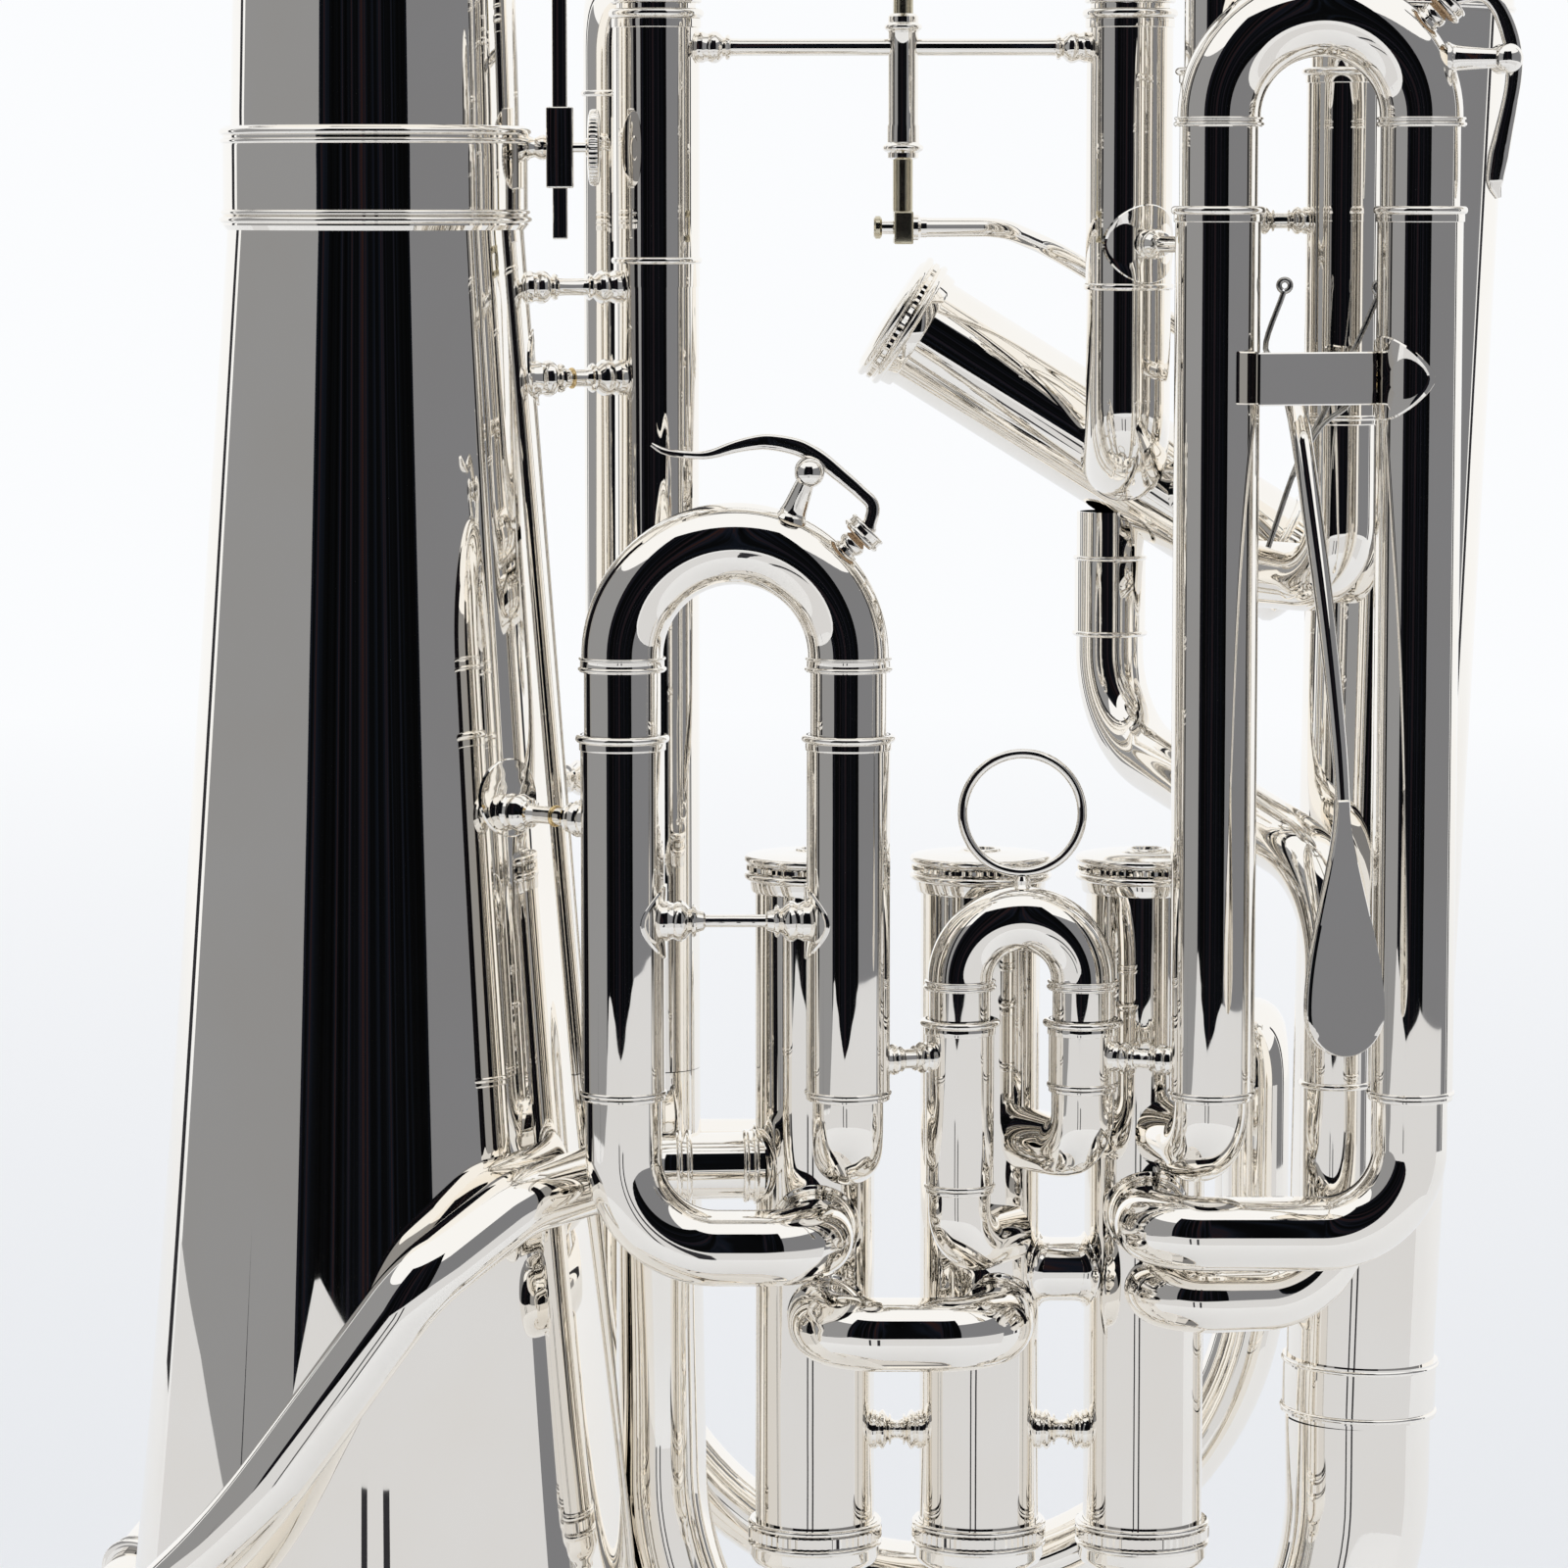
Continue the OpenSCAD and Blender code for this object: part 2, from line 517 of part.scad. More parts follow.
module tube_braces() color(silver) {
  difference() {
    post([s1_x[0], slide_y, 329], [s1_x[1], slide_y, 329], 1.4, 6, 9.3, 6, 9.3);
    for (x = s1_x) straight([x, slide_y, 295], [x, slide_y, 366], s1_r, 0);
  }
  difference() {
    post([s1_x[1], slide_y, 300], [s2_x[0], s2_y, 300], 1.6, 3, 9.3, 3, 7.8);
    straight([s1_x[1], slide_y, 296], [s1_x[1], slide_y, 366], s1_r, 0);
    straight([s2_x[0], s2_y, 276], [s2_x[0], s2_y, 304], s2_r, 0);
  }
  difference() {
    post([s2_x[1], s2_y, 300], [s3_x[0], slide_y, 300], 1.6, 3, 7.8, 3, 9.4);
    straight([s2_x[1], s2_y, 290], [s2_x[1], s2_y, 304], s2_r, 0);
    straight([s3_x[0], slide_y, 290], [s3_x[0], slide_y, 400], s3_r, 0);
  }
  difference() {
    union() {
      post([s3_x[0], slide_y, 463], [s4_x[0], s4_y, 463], 2, 4, 9.6, 4, 9);
      post([s4_x[0], s4_y, 465], [main_x[1], main_y, 465], 2, 4, 9, 7, 10.6);
    }
    straight([s3_x[0], slide_y, 440], [s3_x[0], slide_y, 480], s3_r, 0);
    straight([s4_x[0], s4_y, 440], [s4_x[0], s4_y, 480], s4_r, 0);
    straight([main_x[1], main_y, main_low + 1.1], [main_x[1], main_y, 500], main_r, 0);
    straight([main_x[1], main_y, 440], [main_x[1], main_y, main_low + 1.1], main_r + 0.7, 0);
  }
  difference() {
    post([s4_x[0], s4_y, 470], [s4_x[1], s4_y, 470], 1.6, 3.4, 8.6, 3.4, 8.6);
    for (x = s4_x) straight([x, s4_y, 450], [x, s4_y, 490], s4_r, 0);
  }
  for (k = [0, 1]) difference() {
    post([casing_x[k], casing_y, 216.8], [casing_x[k + 1], casing_y, 216.8], 1.9, 4.4, 13.6, 4.4, 13.6);
    casing_solid(k);
    casing_solid(k + 1);
  }
}

module bell_braces() color(silver) {
  difference() {
    union() {
      post([27, 2, 456], [main_x[0], main_y, 456], 2, 4, 6.5, 4, 10.4);
      post([26, -3, 437], [main_x[0], main_y, 437], 2, 8, 9, 4, 10.2);
    }
    bell_shape(0);
    straight([main_x[0], main_y, 400], [main_x[0], main_y, main_low - 1], 8.9, 0);
    straight([main_x[0], main_y, main_low - 1.5], [main_x[0], main_y, 470], main_r, 0);
  }
  difference() {
    post([23, -22, 349], [s1_x[0], slide_y, 349], 2, 8, 9.5, 4, 9.8);
    bell_shape(0);
    straight([s1_x[0], slide_y, 300], [s1_x[0], slide_y, 366], s1_r, 0);
  }
  difference() {
    post([18, 25, 349], [loop_x[0], loop_y, 349], 2, 6, 10, 4, 8.6);
    bell_shape(0);
    straight([loop_x[0], loop_y, 300], [loop_x[0], loop_y, 400], loop_tube_r + skin, 0);
  }
}

// ---- trigger ----------------------------------------------------------------------------------
bar_z = 510;
module crossbar() color(silver) difference() {
  union() {
    post([main_x[0], main_y, bar_z - 4], [main_x[1], main_y, bar_z - 4], 1.8, 4, 11, 4, 11);
    rod([ball[0], main_y, 486], [ball[0], main_y, 513], 3.6);
    rod([ball[0], main_y, 482.6], [ball[0], main_y, 486], 4.4);
  }
  for (x = main_x) straight([x, main_y, 490], [x, main_y, bar_z + 0.5], main_r, 0);
  for (x = main_x) straight([x, main_y, 500], [x, main_y, main_top + 1], main_r + 1, 0);
  rod([ball[0], main_y, 480], [ball[0], main_y, 520], 1.65);
}

yoke_h = 3.9;
yoke_back = -10;
module push_rod() color(brass) difference() {
  union() {
    rod([ball[0], main_y, 470], [ball[0], main_y, main_at[2] + main_bend - 7], 1.6);
    translate([ball[0] - 2, main_y - 12, ball[2] - 3.4]) cube([4, 17, 6.8]);
    rod([ball[0], main_y, main_at[2] + main_bend - 11], [ball[0], main_y, main_at[2] + main_bend - 5], 4.5);
  }
  translate([ball[0] - 5, main_y - 10, ball[2] - yoke_h / 2]) cube([10, 12.4, yoke_h]);
  bow_solid(main_at, main_bend, 8.4);
}

arm_p = [[ball[0] + 2.6, ball[1], ball[2]], [131, 16, ball[2]], [143, 31.5, 463.5], [186, 31.5, 437],
  [186, pivot[1], pivot[2]]];
paddle_p = [[186, pivot[1], pivot[2]], [189, -52, 425], [194.5, -74, 370], [195, -80, 352]];
hub_r = 4;
module trigger_lever() color(silver) {
  difference() {
    union() {
      pipe(arm_p, [0, 12, 16, 10, 0], 2.3);
      rod([ball[0] - 5, ball[1], ball[2]], [ball[0] + 3, ball[1], ball[2]], 1.5);
      translate([ball[0] - 5.2, ball[1], ball[2]]) sphere(2.8);
      rod([182.5, pivot[1], pivot[2]], [192, pivot[1], pivot[2]], hub_r);
      pipe(paddle_p, [0, 10, 30, 0], 2.3);
      translate([195, -81, 330]) rotate([5, 0, 0]) {
        rotate([90, 0, 0]) translate([0, -14, -1.3]) cylinder(h = 2.6, r = paddle_w / 2);
        translate([-5, -1.3, -14]) cube([10, 2.6, 38]);
        translate([-paddle_w / 2 + 1, -1.3, -14]) cube([paddle_w - 2, 2.6, 18]);
      }
    }
    rod([180, pivot[1], pivot[2]], [195, pivot[1], pivot[2]], 2.05);
  }
}

module trigger_hinge_rod() color(brass)
  rod([s3_x[0] + s3_r + 0.1, pivot[1], pivot[2]], [202.5, pivot[1], pivot[2]], 2);

module trigger_bracket() color(silver) difference() {
  union() {
    translate([s3_x[0] + s3_r - 2, -59.5, 433.5]) cube([25, 1.6, 10.6]);
    translate([s3_x[0] + s3_r - 4, -59.5, 433.5]) cube([3.5, 14, 10.6]);
    translate([200.8, -59.5, 433.5]) cube([1.8, 21, 10.6]);
    translate([s3_x[1], slide_y, 426]) cylinder(h = 26, r = s3_r + 1.2);
    translate([178.9, -59.5, 433.5]) cube([3.2, 21, 10.6]);
  }
  for (x = s3_x) straight([x, slide_y, 400], [x, slide_y, 460], s3_r, 0);
  translate([s3_x[1] + 1, -60, 420]) cube([20, 30, 40]);
  translate([190, slide_y + 1, 420]) cube([40, 20, 13.5]);
  translate([203.2, slide_y + 1, 420]) cube([40, 20, 40]);
  rod([170, pivot[1], pivot[2]], [210, pivot[1], pivot[2]], 2);
}

module trigger_springs() color(silver) for (s = [0, 1]) {
  x = s == 0 ? 193 : 197;
  translate([x, pivot[1], pivot[2]]) rotate([0, 90, 0]) coil(3.1, 3.2, 3, 0.4);
}

// ---- pull ring and water keys -------------------------------------------------------------------
module pull_ring() color(silver) {
  ring_at = [s2_at[0], s2_y, 349.8];
  difference() {
    union() {
      translate(ring_at) rotate([90, 0, 0]) rotate_extrude() translate([12.3, 0]) circle(1);
      rod([ring_at[0], s2_y, 333], [ring_at[0], s2_y, 338.4], 2.6);
    }
    bow_solid(s2_at, 12.6, 6.6);
  }
}

// Bow of a slide as a solid half ring, for cutting what is soldered onto it
module bow_solid(at, bend, r) translate(at) rotate([90, 0, 0]) rotate_extrude(angle = 180)
  translate([bend, 0]) circle(r);

function polar(at, r, a) = at + r * [cos(a), 0, sin(a)];
key_gap = 0.35;
hub_w = 1.9;
post_y = 5.2;

// Seat of a water key: nipple at angle a on the bow, saddle with two posts at angle b carrying the pin
module key_seat(at, bend, r, a, b, pin) difference() {
  union() {
    rod(polar(at, bend + r - 1.5, a), polar(at, bend + r + 3.2, a), 2.6);
    for (s = [-1, 1]) rod(polar(at, bend + r - 2.5, b) + [0, s * post_y, 0], pin + [0, s * post_y, 0], 1.2);
    for (s = [-1, 1]) translate(pin + [0, s * post_y, 0]) sphere(1.9);
    rod(pin - [0, post_y, 0], pin + [0, post_y, 0], 1);
  }
  bow_solid(at, bend, r);
  rod(polar(at, bend, a), polar(at, bend + r + 5, a), 1.4);
}

module key_lever(pin, pts, cup, cup_dir, tip_r) difference() {
  union() {
    rod(pin - [0, hub_w, 0], pin + [0, hub_w, 0], 2.4);
    pipe(pts, [for (q = pts) 5], 1.35);
    rod(cup, cup + 3.4 * cup_dir, 4.4);
    translate(pts[0]) sphere(tip_r);
  }
  rod(pin - [0, 6, 0], pin + [0, 6, 0], 1.05);
  rod(cup - 0.1 * cup_dir, cup + 2 * cup_dir, 3.6);
}

k1_a = 44;
k1_dir = [cos(k1_a), 0, sin(k1_a)];
k1_cup = polar(bow1_at, 22.8 + 8.25 + 3.6, k1_a);
module water_key_1_seat() color(silver) key_seat(bow1_at, 22.8, 8.25, k1_a, 68, key1_pivot);
module water_key_1() color(silver) key_lever(key1_pivot,
  [[60, slide_y, 425.4], [77, slide_y, 427], key1_pivot + [0, 0, 2.6], [102, slide_y, 414], k1_cup + 3 * k1_dir],
  k1_cup, k1_dir, 2);
module water_key_1_pad() color(cork) rod(k1_cup - key_gap * k1_dir, k1_cup + 1.9 * k1_dir, 3.55);
module water_key_1_spring() color(silver) translate(key1_pivot + [0, hub_w + 0.1, 0]) rotate([-90, 0, 0])
  coil(1.6, 1.2, 2, 0.2);

k3_a = 42;
k3_dir = [cos(k3_a), 0, sin(k3_a)];
k3_cup = polar(bow3_at, 20.2 + 8.3 + 3.6, k3_a);
module water_key_3_seat() color(silver) key_seat(bow3_at, 20.2, 8.3, k3_a, 24, key3_pivot);
module water_key_3() color(silver) key_lever(key3_pivot,
  [[228.2, slide_y, 480], key3_pivot + [0.9, 0, 0], [226.5, slide_y, 513.5], k3_cup + 2.6 * k3_dir],
  k3_cup, k3_dir, 2);
module water_key_3_pad() color(cork) rod(k3_cup - key_gap * k3_dir, k3_cup + 1.9 * k3_dir, 3.55);
module water_key_3_spring() color(silver) translate(key3_pivot + [0, hub_w + 0.1, 0]) rotate([-90, 0, 0])
  coil(1.6, 1.2, 2, 0.2);

// ---- music clip -----------------------------------------------------------------------------------
clip_z = 485;
clip_x = [35.6, 41.2];
module clip_socket() color(silver) difference() {
  union() {
    rod([28, 0, clip_z], [clip_x[0] + 0.5, 0, clip_z], 2.3);
    translate([clip_x[0], -3.2, clip_z - 8.4]) cube([clip_x[1] - clip_x[0], 6.4, 16.8]);
  }
  translate([36.8, -1.6, clip_z - 20]) cube([3.2, 3.2, 40]);
  cylinder(h = 600, r = tail_r + 1.9, $fn = 96);
  translate([0, 0, 486]) cylinder(h = 3.5, r = tail_r + 2.3, $fn = 96);
  rod([39, 0, clip_z], [45, 0, clip_z], 1.2);
}
module clip_bar() color(silver) translate([36.85, -1.55, 466]) cube([3.1, 3.1, 78]);
module clip_screw() color(silver) {
  rod([clip_x[1] - 1.15, 0, clip_z], [clip_x[1] + 2.5, 0, clip_z], 1.15);
  rod([clip_x[1] + 2.5, 0, clip_z], [clip_x[1] + 5.6, 0, clip_z], 8);
}

bell();
ferrules();
bottom_bow();
outer_branch();
top_bow();
inner_branch();
leadpipe();
mouthpiece_receiver();
valve_casing(0);  // valve_casing_1
valve_casing(1);  // valve_casing_2
valve_casing(2);  // valve_casing_3
valve_casing(3);  // valve_casing_4
bottom_valve_caps();
top_valve_caps();
piston(0);  // piston_1
piston(1);  // piston_2
piston(2);  // piston_3
piston(3);  // piston_4
finger_button(0);  // finger_button_1
finger_button(1);  // finger_button_2
finger_button(2);  // finger_button_3
finger_button(3);  // finger_button_4
valve_spring(0);  // valve_spring_1
valve_spring(1);  // valve_spring_2
valve_spring(2);  // valve_spring_3
valve_spring(3);  // valve_spring_4
first_slide_sleeves();
first_slide_bow();
second_slide_sleeves();
second_slide_bow();
third_slide_sleeves();
third_slide_bow();
fourth_slide_sleeves();
fourth_slide_bow();
main_slide_sleeves();
main_slide_bow();
tube_braces();
crossbar();
push_rod();
trigger_bracket();
trigger_hinge_rod();
trigger_lever();
trigger_springs();
pull_ring();
water_key_1();
water_key_1_seat();
water_key_1_pad();
water_key_1_spring();
water_key_3();
water_key_3_seat();
water_key_3_pad();
water_key_3_spring();
cross_bow_1_2();
knuckle_2_3();
valve_3_to_4_tube();
compensating_loop();
bell_braces();
clip_socket();
clip_bar();
clip_screw();
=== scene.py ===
"""Looks of the compensating euphonium: polished silver plate in a soft white studio.

Lengths in this script are millimetres in the frame of the CAD model and become metres in piece().
Tubes are swept along the same routes as in the CAD source, and turned parts are lathed.
"""

import json
import math
from math import cos, pi, radians, sin

import bmesh
import bpy
import numpy as np
from mathutils import Matrix, Vector

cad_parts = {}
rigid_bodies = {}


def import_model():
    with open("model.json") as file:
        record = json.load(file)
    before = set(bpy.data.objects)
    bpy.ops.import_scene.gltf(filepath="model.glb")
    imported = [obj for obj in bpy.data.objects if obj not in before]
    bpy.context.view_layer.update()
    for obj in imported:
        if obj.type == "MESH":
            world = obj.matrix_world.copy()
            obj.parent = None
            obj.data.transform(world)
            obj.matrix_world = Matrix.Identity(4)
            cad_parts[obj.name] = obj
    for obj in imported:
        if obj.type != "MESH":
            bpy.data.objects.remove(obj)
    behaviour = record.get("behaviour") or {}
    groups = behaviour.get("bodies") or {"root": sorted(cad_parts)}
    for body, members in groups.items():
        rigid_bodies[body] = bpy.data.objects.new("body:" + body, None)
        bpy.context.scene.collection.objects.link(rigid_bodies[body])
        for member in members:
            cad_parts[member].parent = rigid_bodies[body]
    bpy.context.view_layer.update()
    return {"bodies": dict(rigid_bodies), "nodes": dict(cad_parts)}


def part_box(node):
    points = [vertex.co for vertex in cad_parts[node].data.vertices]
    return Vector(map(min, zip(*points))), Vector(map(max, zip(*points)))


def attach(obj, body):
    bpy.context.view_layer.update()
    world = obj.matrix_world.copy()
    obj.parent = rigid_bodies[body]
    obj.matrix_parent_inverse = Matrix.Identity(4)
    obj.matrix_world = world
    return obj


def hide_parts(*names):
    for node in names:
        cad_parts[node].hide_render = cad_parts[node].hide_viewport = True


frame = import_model()

MM = 0.001
SIDES = 64
BEND_STEP = 3.5
UP = (0, 0, 1)


# ---- places, in the frame's millimetres ----


def vec(p):
    return np.array(p, float)


def box(node):
    """Lowest and highest corner of a CAD node, in millimetres"""
    lo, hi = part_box(node)
    return vec(lo) / MM, vec(hi) / MM


def body_of(node):
    parent = frame["nodes"][node].parent
    return next(name for name, empty in frame["bodies"].items() if empty == parent)


BELL_R = box("bell")[1][0]
BELL_TOP = 480.0
TAIL_R = 30.0
FLARE_L = 48.0
BELL_TAPER = 0.0725
BELL_WALL = 0.7
WALL = 0.7
FIT = 0.05

BOW_R = 108.5
BOW_Z = 530.0
BOW_START_R = 29.0
BRANCH_Y = 8.0
BRANCH_LOW = vec([208.0, BRANCH_Y, 215.0])
BRANCH_TOP_R = 20.0
BRANCH_LOW_R = 15.5
INNER_X = 58.2
INNER_LOW = 290.0
INNER_R = 8.9
LEAD_R = 7.0
MAIN_Y = 12.0
MAIN_X = (INNER_X, 157.6)
MAIN_TOP = 514.0
MAIN_LOW = 456.0
MAIN_R = 9.1
MAIN_BEND = 49.7
SLIDE_Y = -48.0
CASING_X = (91.5, 126.0, 160.5)
CASING_Y = -14.0
CASING_R = 12.5
CAP_FACE_Z = 340.0
VALVE_LEN = (147.0, 147.0, 147.0, 102.0)
VALVE4_AT = vec([107.3, 42.0, 450.3])
VALVE4_DIR = vec([0.848, 0.0, -0.53])
STROKE = 17.0
BORE_R = 11.3
LOOP_Y = 47.0
LOOP_X = (48.9, 188.9)
LOOP_Z = 240.3
LOOP_R = 7.3
PIVOT = vec([186.0, -42.0, 438.0])
BALL = vec([110.0, 12.0, 468.4])
BEND_1, BEND_3 = 22.8, 20.2
BOW1_AT = vec([75.2, SLIDE_Y, 382.7])
BOW3_AT = vec([192.0, SLIDE_Y, 490.7])
KEY1_PIVOT = vec([90.1, SLIDE_Y, 419.9])
KEY3_PIVOT = vec([228.7, SLIDE_Y, 502.2])
S1_X, S1_R = (52.4, 98.0), 8.5
S2_X, S2_Y, S2_R = (121.0, 146.2), -37.5, 7.0
S2_AT = vec([133.6, S2_Y, 315.6])
S3_X, S3_R = (171.8, 212.2), 8.6
S4_X, S4_Y, S4_R = (173.4, 199.1), -25.0, 7.75
S4_AT = vec([186.25, S4_Y, 524.0])
MAIN_AT = vec([107.9, MAIN_Y, 519.0])
CLIP_Z = 485.0


# ---- mesh helpers ----


def unit(v):
    v = vec(v)
    return v / np.linalg.norm(v)


def side_axes(w):
    """Two unit vectors square to w and to each other"""
    w = unit(w)
    u = unit(np.cross([0, 0, 1], w) if abs(w[2]) < 0.9 else np.cross([0, 1, 0], w))
    return u, np.cross(w, u)


def shell(rings, loop=False, first=None, last=None):
    """Closed surface through rings of points; its ends are joined to each other or to first and last"""
    n = len(rings[0])
    verts = [tuple(p) for ring in rings for p in ring]
    faces = []
    for i in range(len(rings) if loop else len(rings) - 1):
        a, b = i * n, (i + 1) % len(rings) * n
        faces += [(a + j, a + (j + 1) % n, b + (j + 1) % n, b + j) for j in range(n)]
    for pole, base in ((first, 0), (last, (len(rings) - 1) * n)):
        if pole is not None:
            verts.append(tuple(pole))
            faces += [(base + j, base + (j + 1) % n, len(verts) - 1) for j in range(n)]
    return verts, faces


def bent(points, bends):
    """Points and tangents along a polyline whose inner corners are arcs of the given radii"""
    p = [vec(q) for q in points]
    line = [(p[0], unit(p[1] - p[0]))]
    for i in range(1, len(p) - 1):
        u, v = unit(p[i] - p[i - 1]), unit(p[i + 1] - p[i])
        turn = math.acos(float(np.clip(u @ v, -1, 1)))
        if turn < 1e-3:
            continue
        radius = bends[i]
        cut = radius * math.tan(turn / 2)
        n = unit(v - u * (u @ v))
        hub = p[i] - u * cut + n * radius
        steps = max(3, math.ceil(math.degrees(turn) / BEND_STEP))
        for t in np.linspace(0, turn, steps + 1):
            at = hub + radius * (u * sin(t) - n * cos(t))
            line.append((at, u * cos(t) + n * sin(t)))
    line.append((p[-1], unit(p[-1] - p[-2])))
    kept = [line[0]]
    for q in line[1:]:
        if np.linalg.norm(q[0] - kept[-1][0]) > 1e-3:
            kept.append(q)
    return kept


def carry(line):
    """Side axes along a line of (point, tangent), turned as little as possible from one point to the next"""
    u, _ = side_axes(line[0][1])
    axes = []
    for _, t in line:
        u = unit(u - t * (u @ t))
        axes.append((u, np.cross(t, u)))
    return axes


def circle(c, u, v, r, n=SIDES):
    a = np.linspace(0, 2 * pi, n, endpoint=False)
    return c + np.outer(r * np.cos(a), u) + np.outer(r * np.sin(a), v)


def sweep(line, outer, wall=None, n=SIDES, dome=False):
    """Tube of radius outer, a number or a list along the line. It is hollow where wall is given,
    and otherwise has flat ends, or a dome at its last end."""
    radii = [outer] * len(line) if np.isscalar(outer) else list(outer)
    axes = carry(line)
    rings = [circle(c, u, v, r, n) for (c, _), (u, v), r in zip(line, axes, radii)]
    if wall:
        inside = [circle(c, u, v, r - wall, n) for (c, _), (u, v), r in zip(line, axes, radii)]
        return shell(rings + inside[::-1], loop=True)
    first, (last, t) = line[0][0], line[-1]
    if dome:
        r = radii[-1]
        rings += [circle(last + t * r * sin(a), *axes[-1], r * cos(a), n)
                  for a in np.radians([12, 24, 36, 48, 60, 72, 82])]
        last = last + t * r
    return shell(rings, first=first, last=last)


def tube(points, bends, r, wall=WALL):
    return sweep(bent(points, bends), r, wall)


def rod(p, q, r, n=32):
    t = unit(vec(q) - vec(p))
    return sweep([(vec(p), t), (vec(q), t)], r, n=n)


def lathe(profile, at, axis, n=SIDES, knurl=None):
    """Turned solid: profile of (radius, height) along axis from at. It closes on itself, or on the
    axis where it starts and ends at radius 0. knurl = (teeth, depth, low, high) cuts fine teeth."""
    at = vec(at)
    w = unit(axis)
    u, v = side_axes(w)
    a = np.linspace(0, 2 * pi, n, endpoint=False)
    rings = []
    for r, s in profile:
        if r < 1e-6:
            continue
        radii = np.full(n, float(r))
        if knurl and knurl[2] <= s <= knurl[3]:
            radii = radii - knurl[1] * (0.5 + 0.5 * np.cos(knurl[0] * a))
        rings.append(at + s * w + np.outer(radii * np.cos(a), u) + np.outer(radii * np.sin(a), v))
    if profile[0][0] > 1e-6:
        return shell(rings, loop=True)
    return shell(rings, first=at + profile[0][1] * w, last=at + profile[-1][1] * w)


def arc(cr, cs, r, a0, a1, n=8):
    """Points of (radius, height) on an arc from a0 to a1 degrees; 0 is outwards and 90 along the axis"""
    return [(cr + r * cos(t), cs + r * sin(t)) for t in np.radians(np.linspace(a0, a1, n + 1))]


def bead(at, axis, tube_r, proud, h, n=SIDES):
    """Half-round bead around a tube"""
    out = [(tube_r + proud * cos(t), h / 2 * sin(t)) for t in np.radians(np.linspace(-90, 90, 11))]
    return lathe([(tube_r - 0.3, -h / 2)] + out + [(tube_r - 0.3, h / 2)], at, axis, n)


def collar(at, axis, tube_r, proud, h):
    """Plain ring with rounded edges around a tube"""
    edge = min(0.3, proud * 0.6, h * 0.3)
    r = tube_r + proud - edge
    profile = [(tube_r - 0.3, -h / 2), *arc(r, edge - h / 2, edge, -90, 0, 4),
               *arc(r, h / 2 - edge, edge, 0, 90, 4), (tube_r - 0.3, h / 2)]
    return lathe(profile, at, axis)


def ball(at, r, axis=UP):
    return lathe([(0, -r)] + arc(0, 0, r, -84, 84, 14) + [(0, r)], at, axis, 40)


def torus(at, axis, ring_r, wire_r, n=96, wire_n=20, flat=1.0):
    out = [(ring_r + wire_r * cos(t), flat * wire_r * sin(t))
           for t in np.linspace(0, 2 * pi, wire_n, endpoint=False)]
    return lathe(out, at, axis, n)


def reach(q, d, axis_at, axis, radius):
    """How far from q along d the far side of a cylinder lies"""
    a = unit(axis)
    m = q - axis_at
    m = m - a * (m @ a)
    e = d - a * (d @ a)
    qa, qb, qc = e @ e, 2 * (m @ e), m @ m - radius * radius
    root = max(qb * qb - 4 * qa * qc, 0.0)
    return (-qb + math.sqrt(root)) / (2 * qa)


def saddle(c, d, axis, radius, profile):
    """Turned shape seated on a cylinder: c is on the cylinder's axis, d points outwards,
    and profile holds (distance from d, height above the cylinder)"""
    c = vec(c)
    d = unit(d)
    u, v = side_axes(d)
    rings = []
    for rho, h in profile:
        if rho < 1e-6:
            continue
        rho = min(rho, radius * 0.985)
        ring = []
        for a in np.linspace(0, 2 * pi, 48, endpoint=False):
            q = c + rho * (cos(a) * u + sin(a) * v)
            ring.append(q + (reach(q, d, c, axis, radius) + h) * d)
        rings.append(ring)
    if profile[0][0] > 1e-6:
        return shell(rings, loop=True)
    return shell(rings, first=c + (radius + profile[0][1]) * d, last=c + (radius + profile[-1][1]) * d)


def solder(c, d, axis, radius, r, w=1.5):
    """Flange and fillet where a tube of radius r leaves a cylinder"""
    return saddle(c, d, axis, radius, [
        (r - 0.3, -0.5), (r + w, -0.5), (r + w, 0.25), (r + w - 0.25, 0.45), (r + w * 0.55, 0.55),
        (r + w * 0.3, 0.85), (r + w * 0.12, 1.4), (r + 0.02, 2.4), (r - 0.3, 2.4)])


def plate_foot(c, d, axis, radius, r, t=0.45):
    """Thin round plate bent onto a tube, under the foot of a brace"""
    return saddle(c, d, axis, radius, [(0, -0.3), (r, -0.3), (r + 0.1, t * 0.5), (r - 0.15, t), (0, t)])


def turned_post(p, q, start, end, rod_r, size=1.0):
    """Baluster from p to q; start and end are the distances where the tubes' skins are"""
    p, q = vec(p), vec(q)
    length = float(np.linalg.norm(q - p))
    foot = [(0.0, 3.2), (0.6, 3.3), (1.2, 3.0), (1.8, 2.9), (2.6, 3.3), (3.4, 3.35), (4.2, 2.95), (4.9, 2.2),
            (5.3, 1.95), (5.5, 2.5), (5.9, 2.7), (6.3, 2.5), (6.5, 1.9), (7.0, 1.75), (7.8, 1.55)]
    room = (length - start - end) / 2
    k = min(1.0, room / 8.6)
    low = [(max(r * size, rod_r * 1.02), start + s * k) for s, r in foot]
    high = [(r, length - end - (s - start)) for r, s in reversed(low)]
    mid = [(rod_r, low[-1][1] + 0.4), (rod_r, high[0][1] - 0.4)] if high[0][1] - low[-1][1] > 1 else []
    first, last = low[0][0], high[-1][0]
    return lathe([(0, start - 1.5), (first, start - 1.5)] + low + mid + high
                 + [(last, length - end + 1.5), (0, length - end + 1.5)], p, q - p, 40)


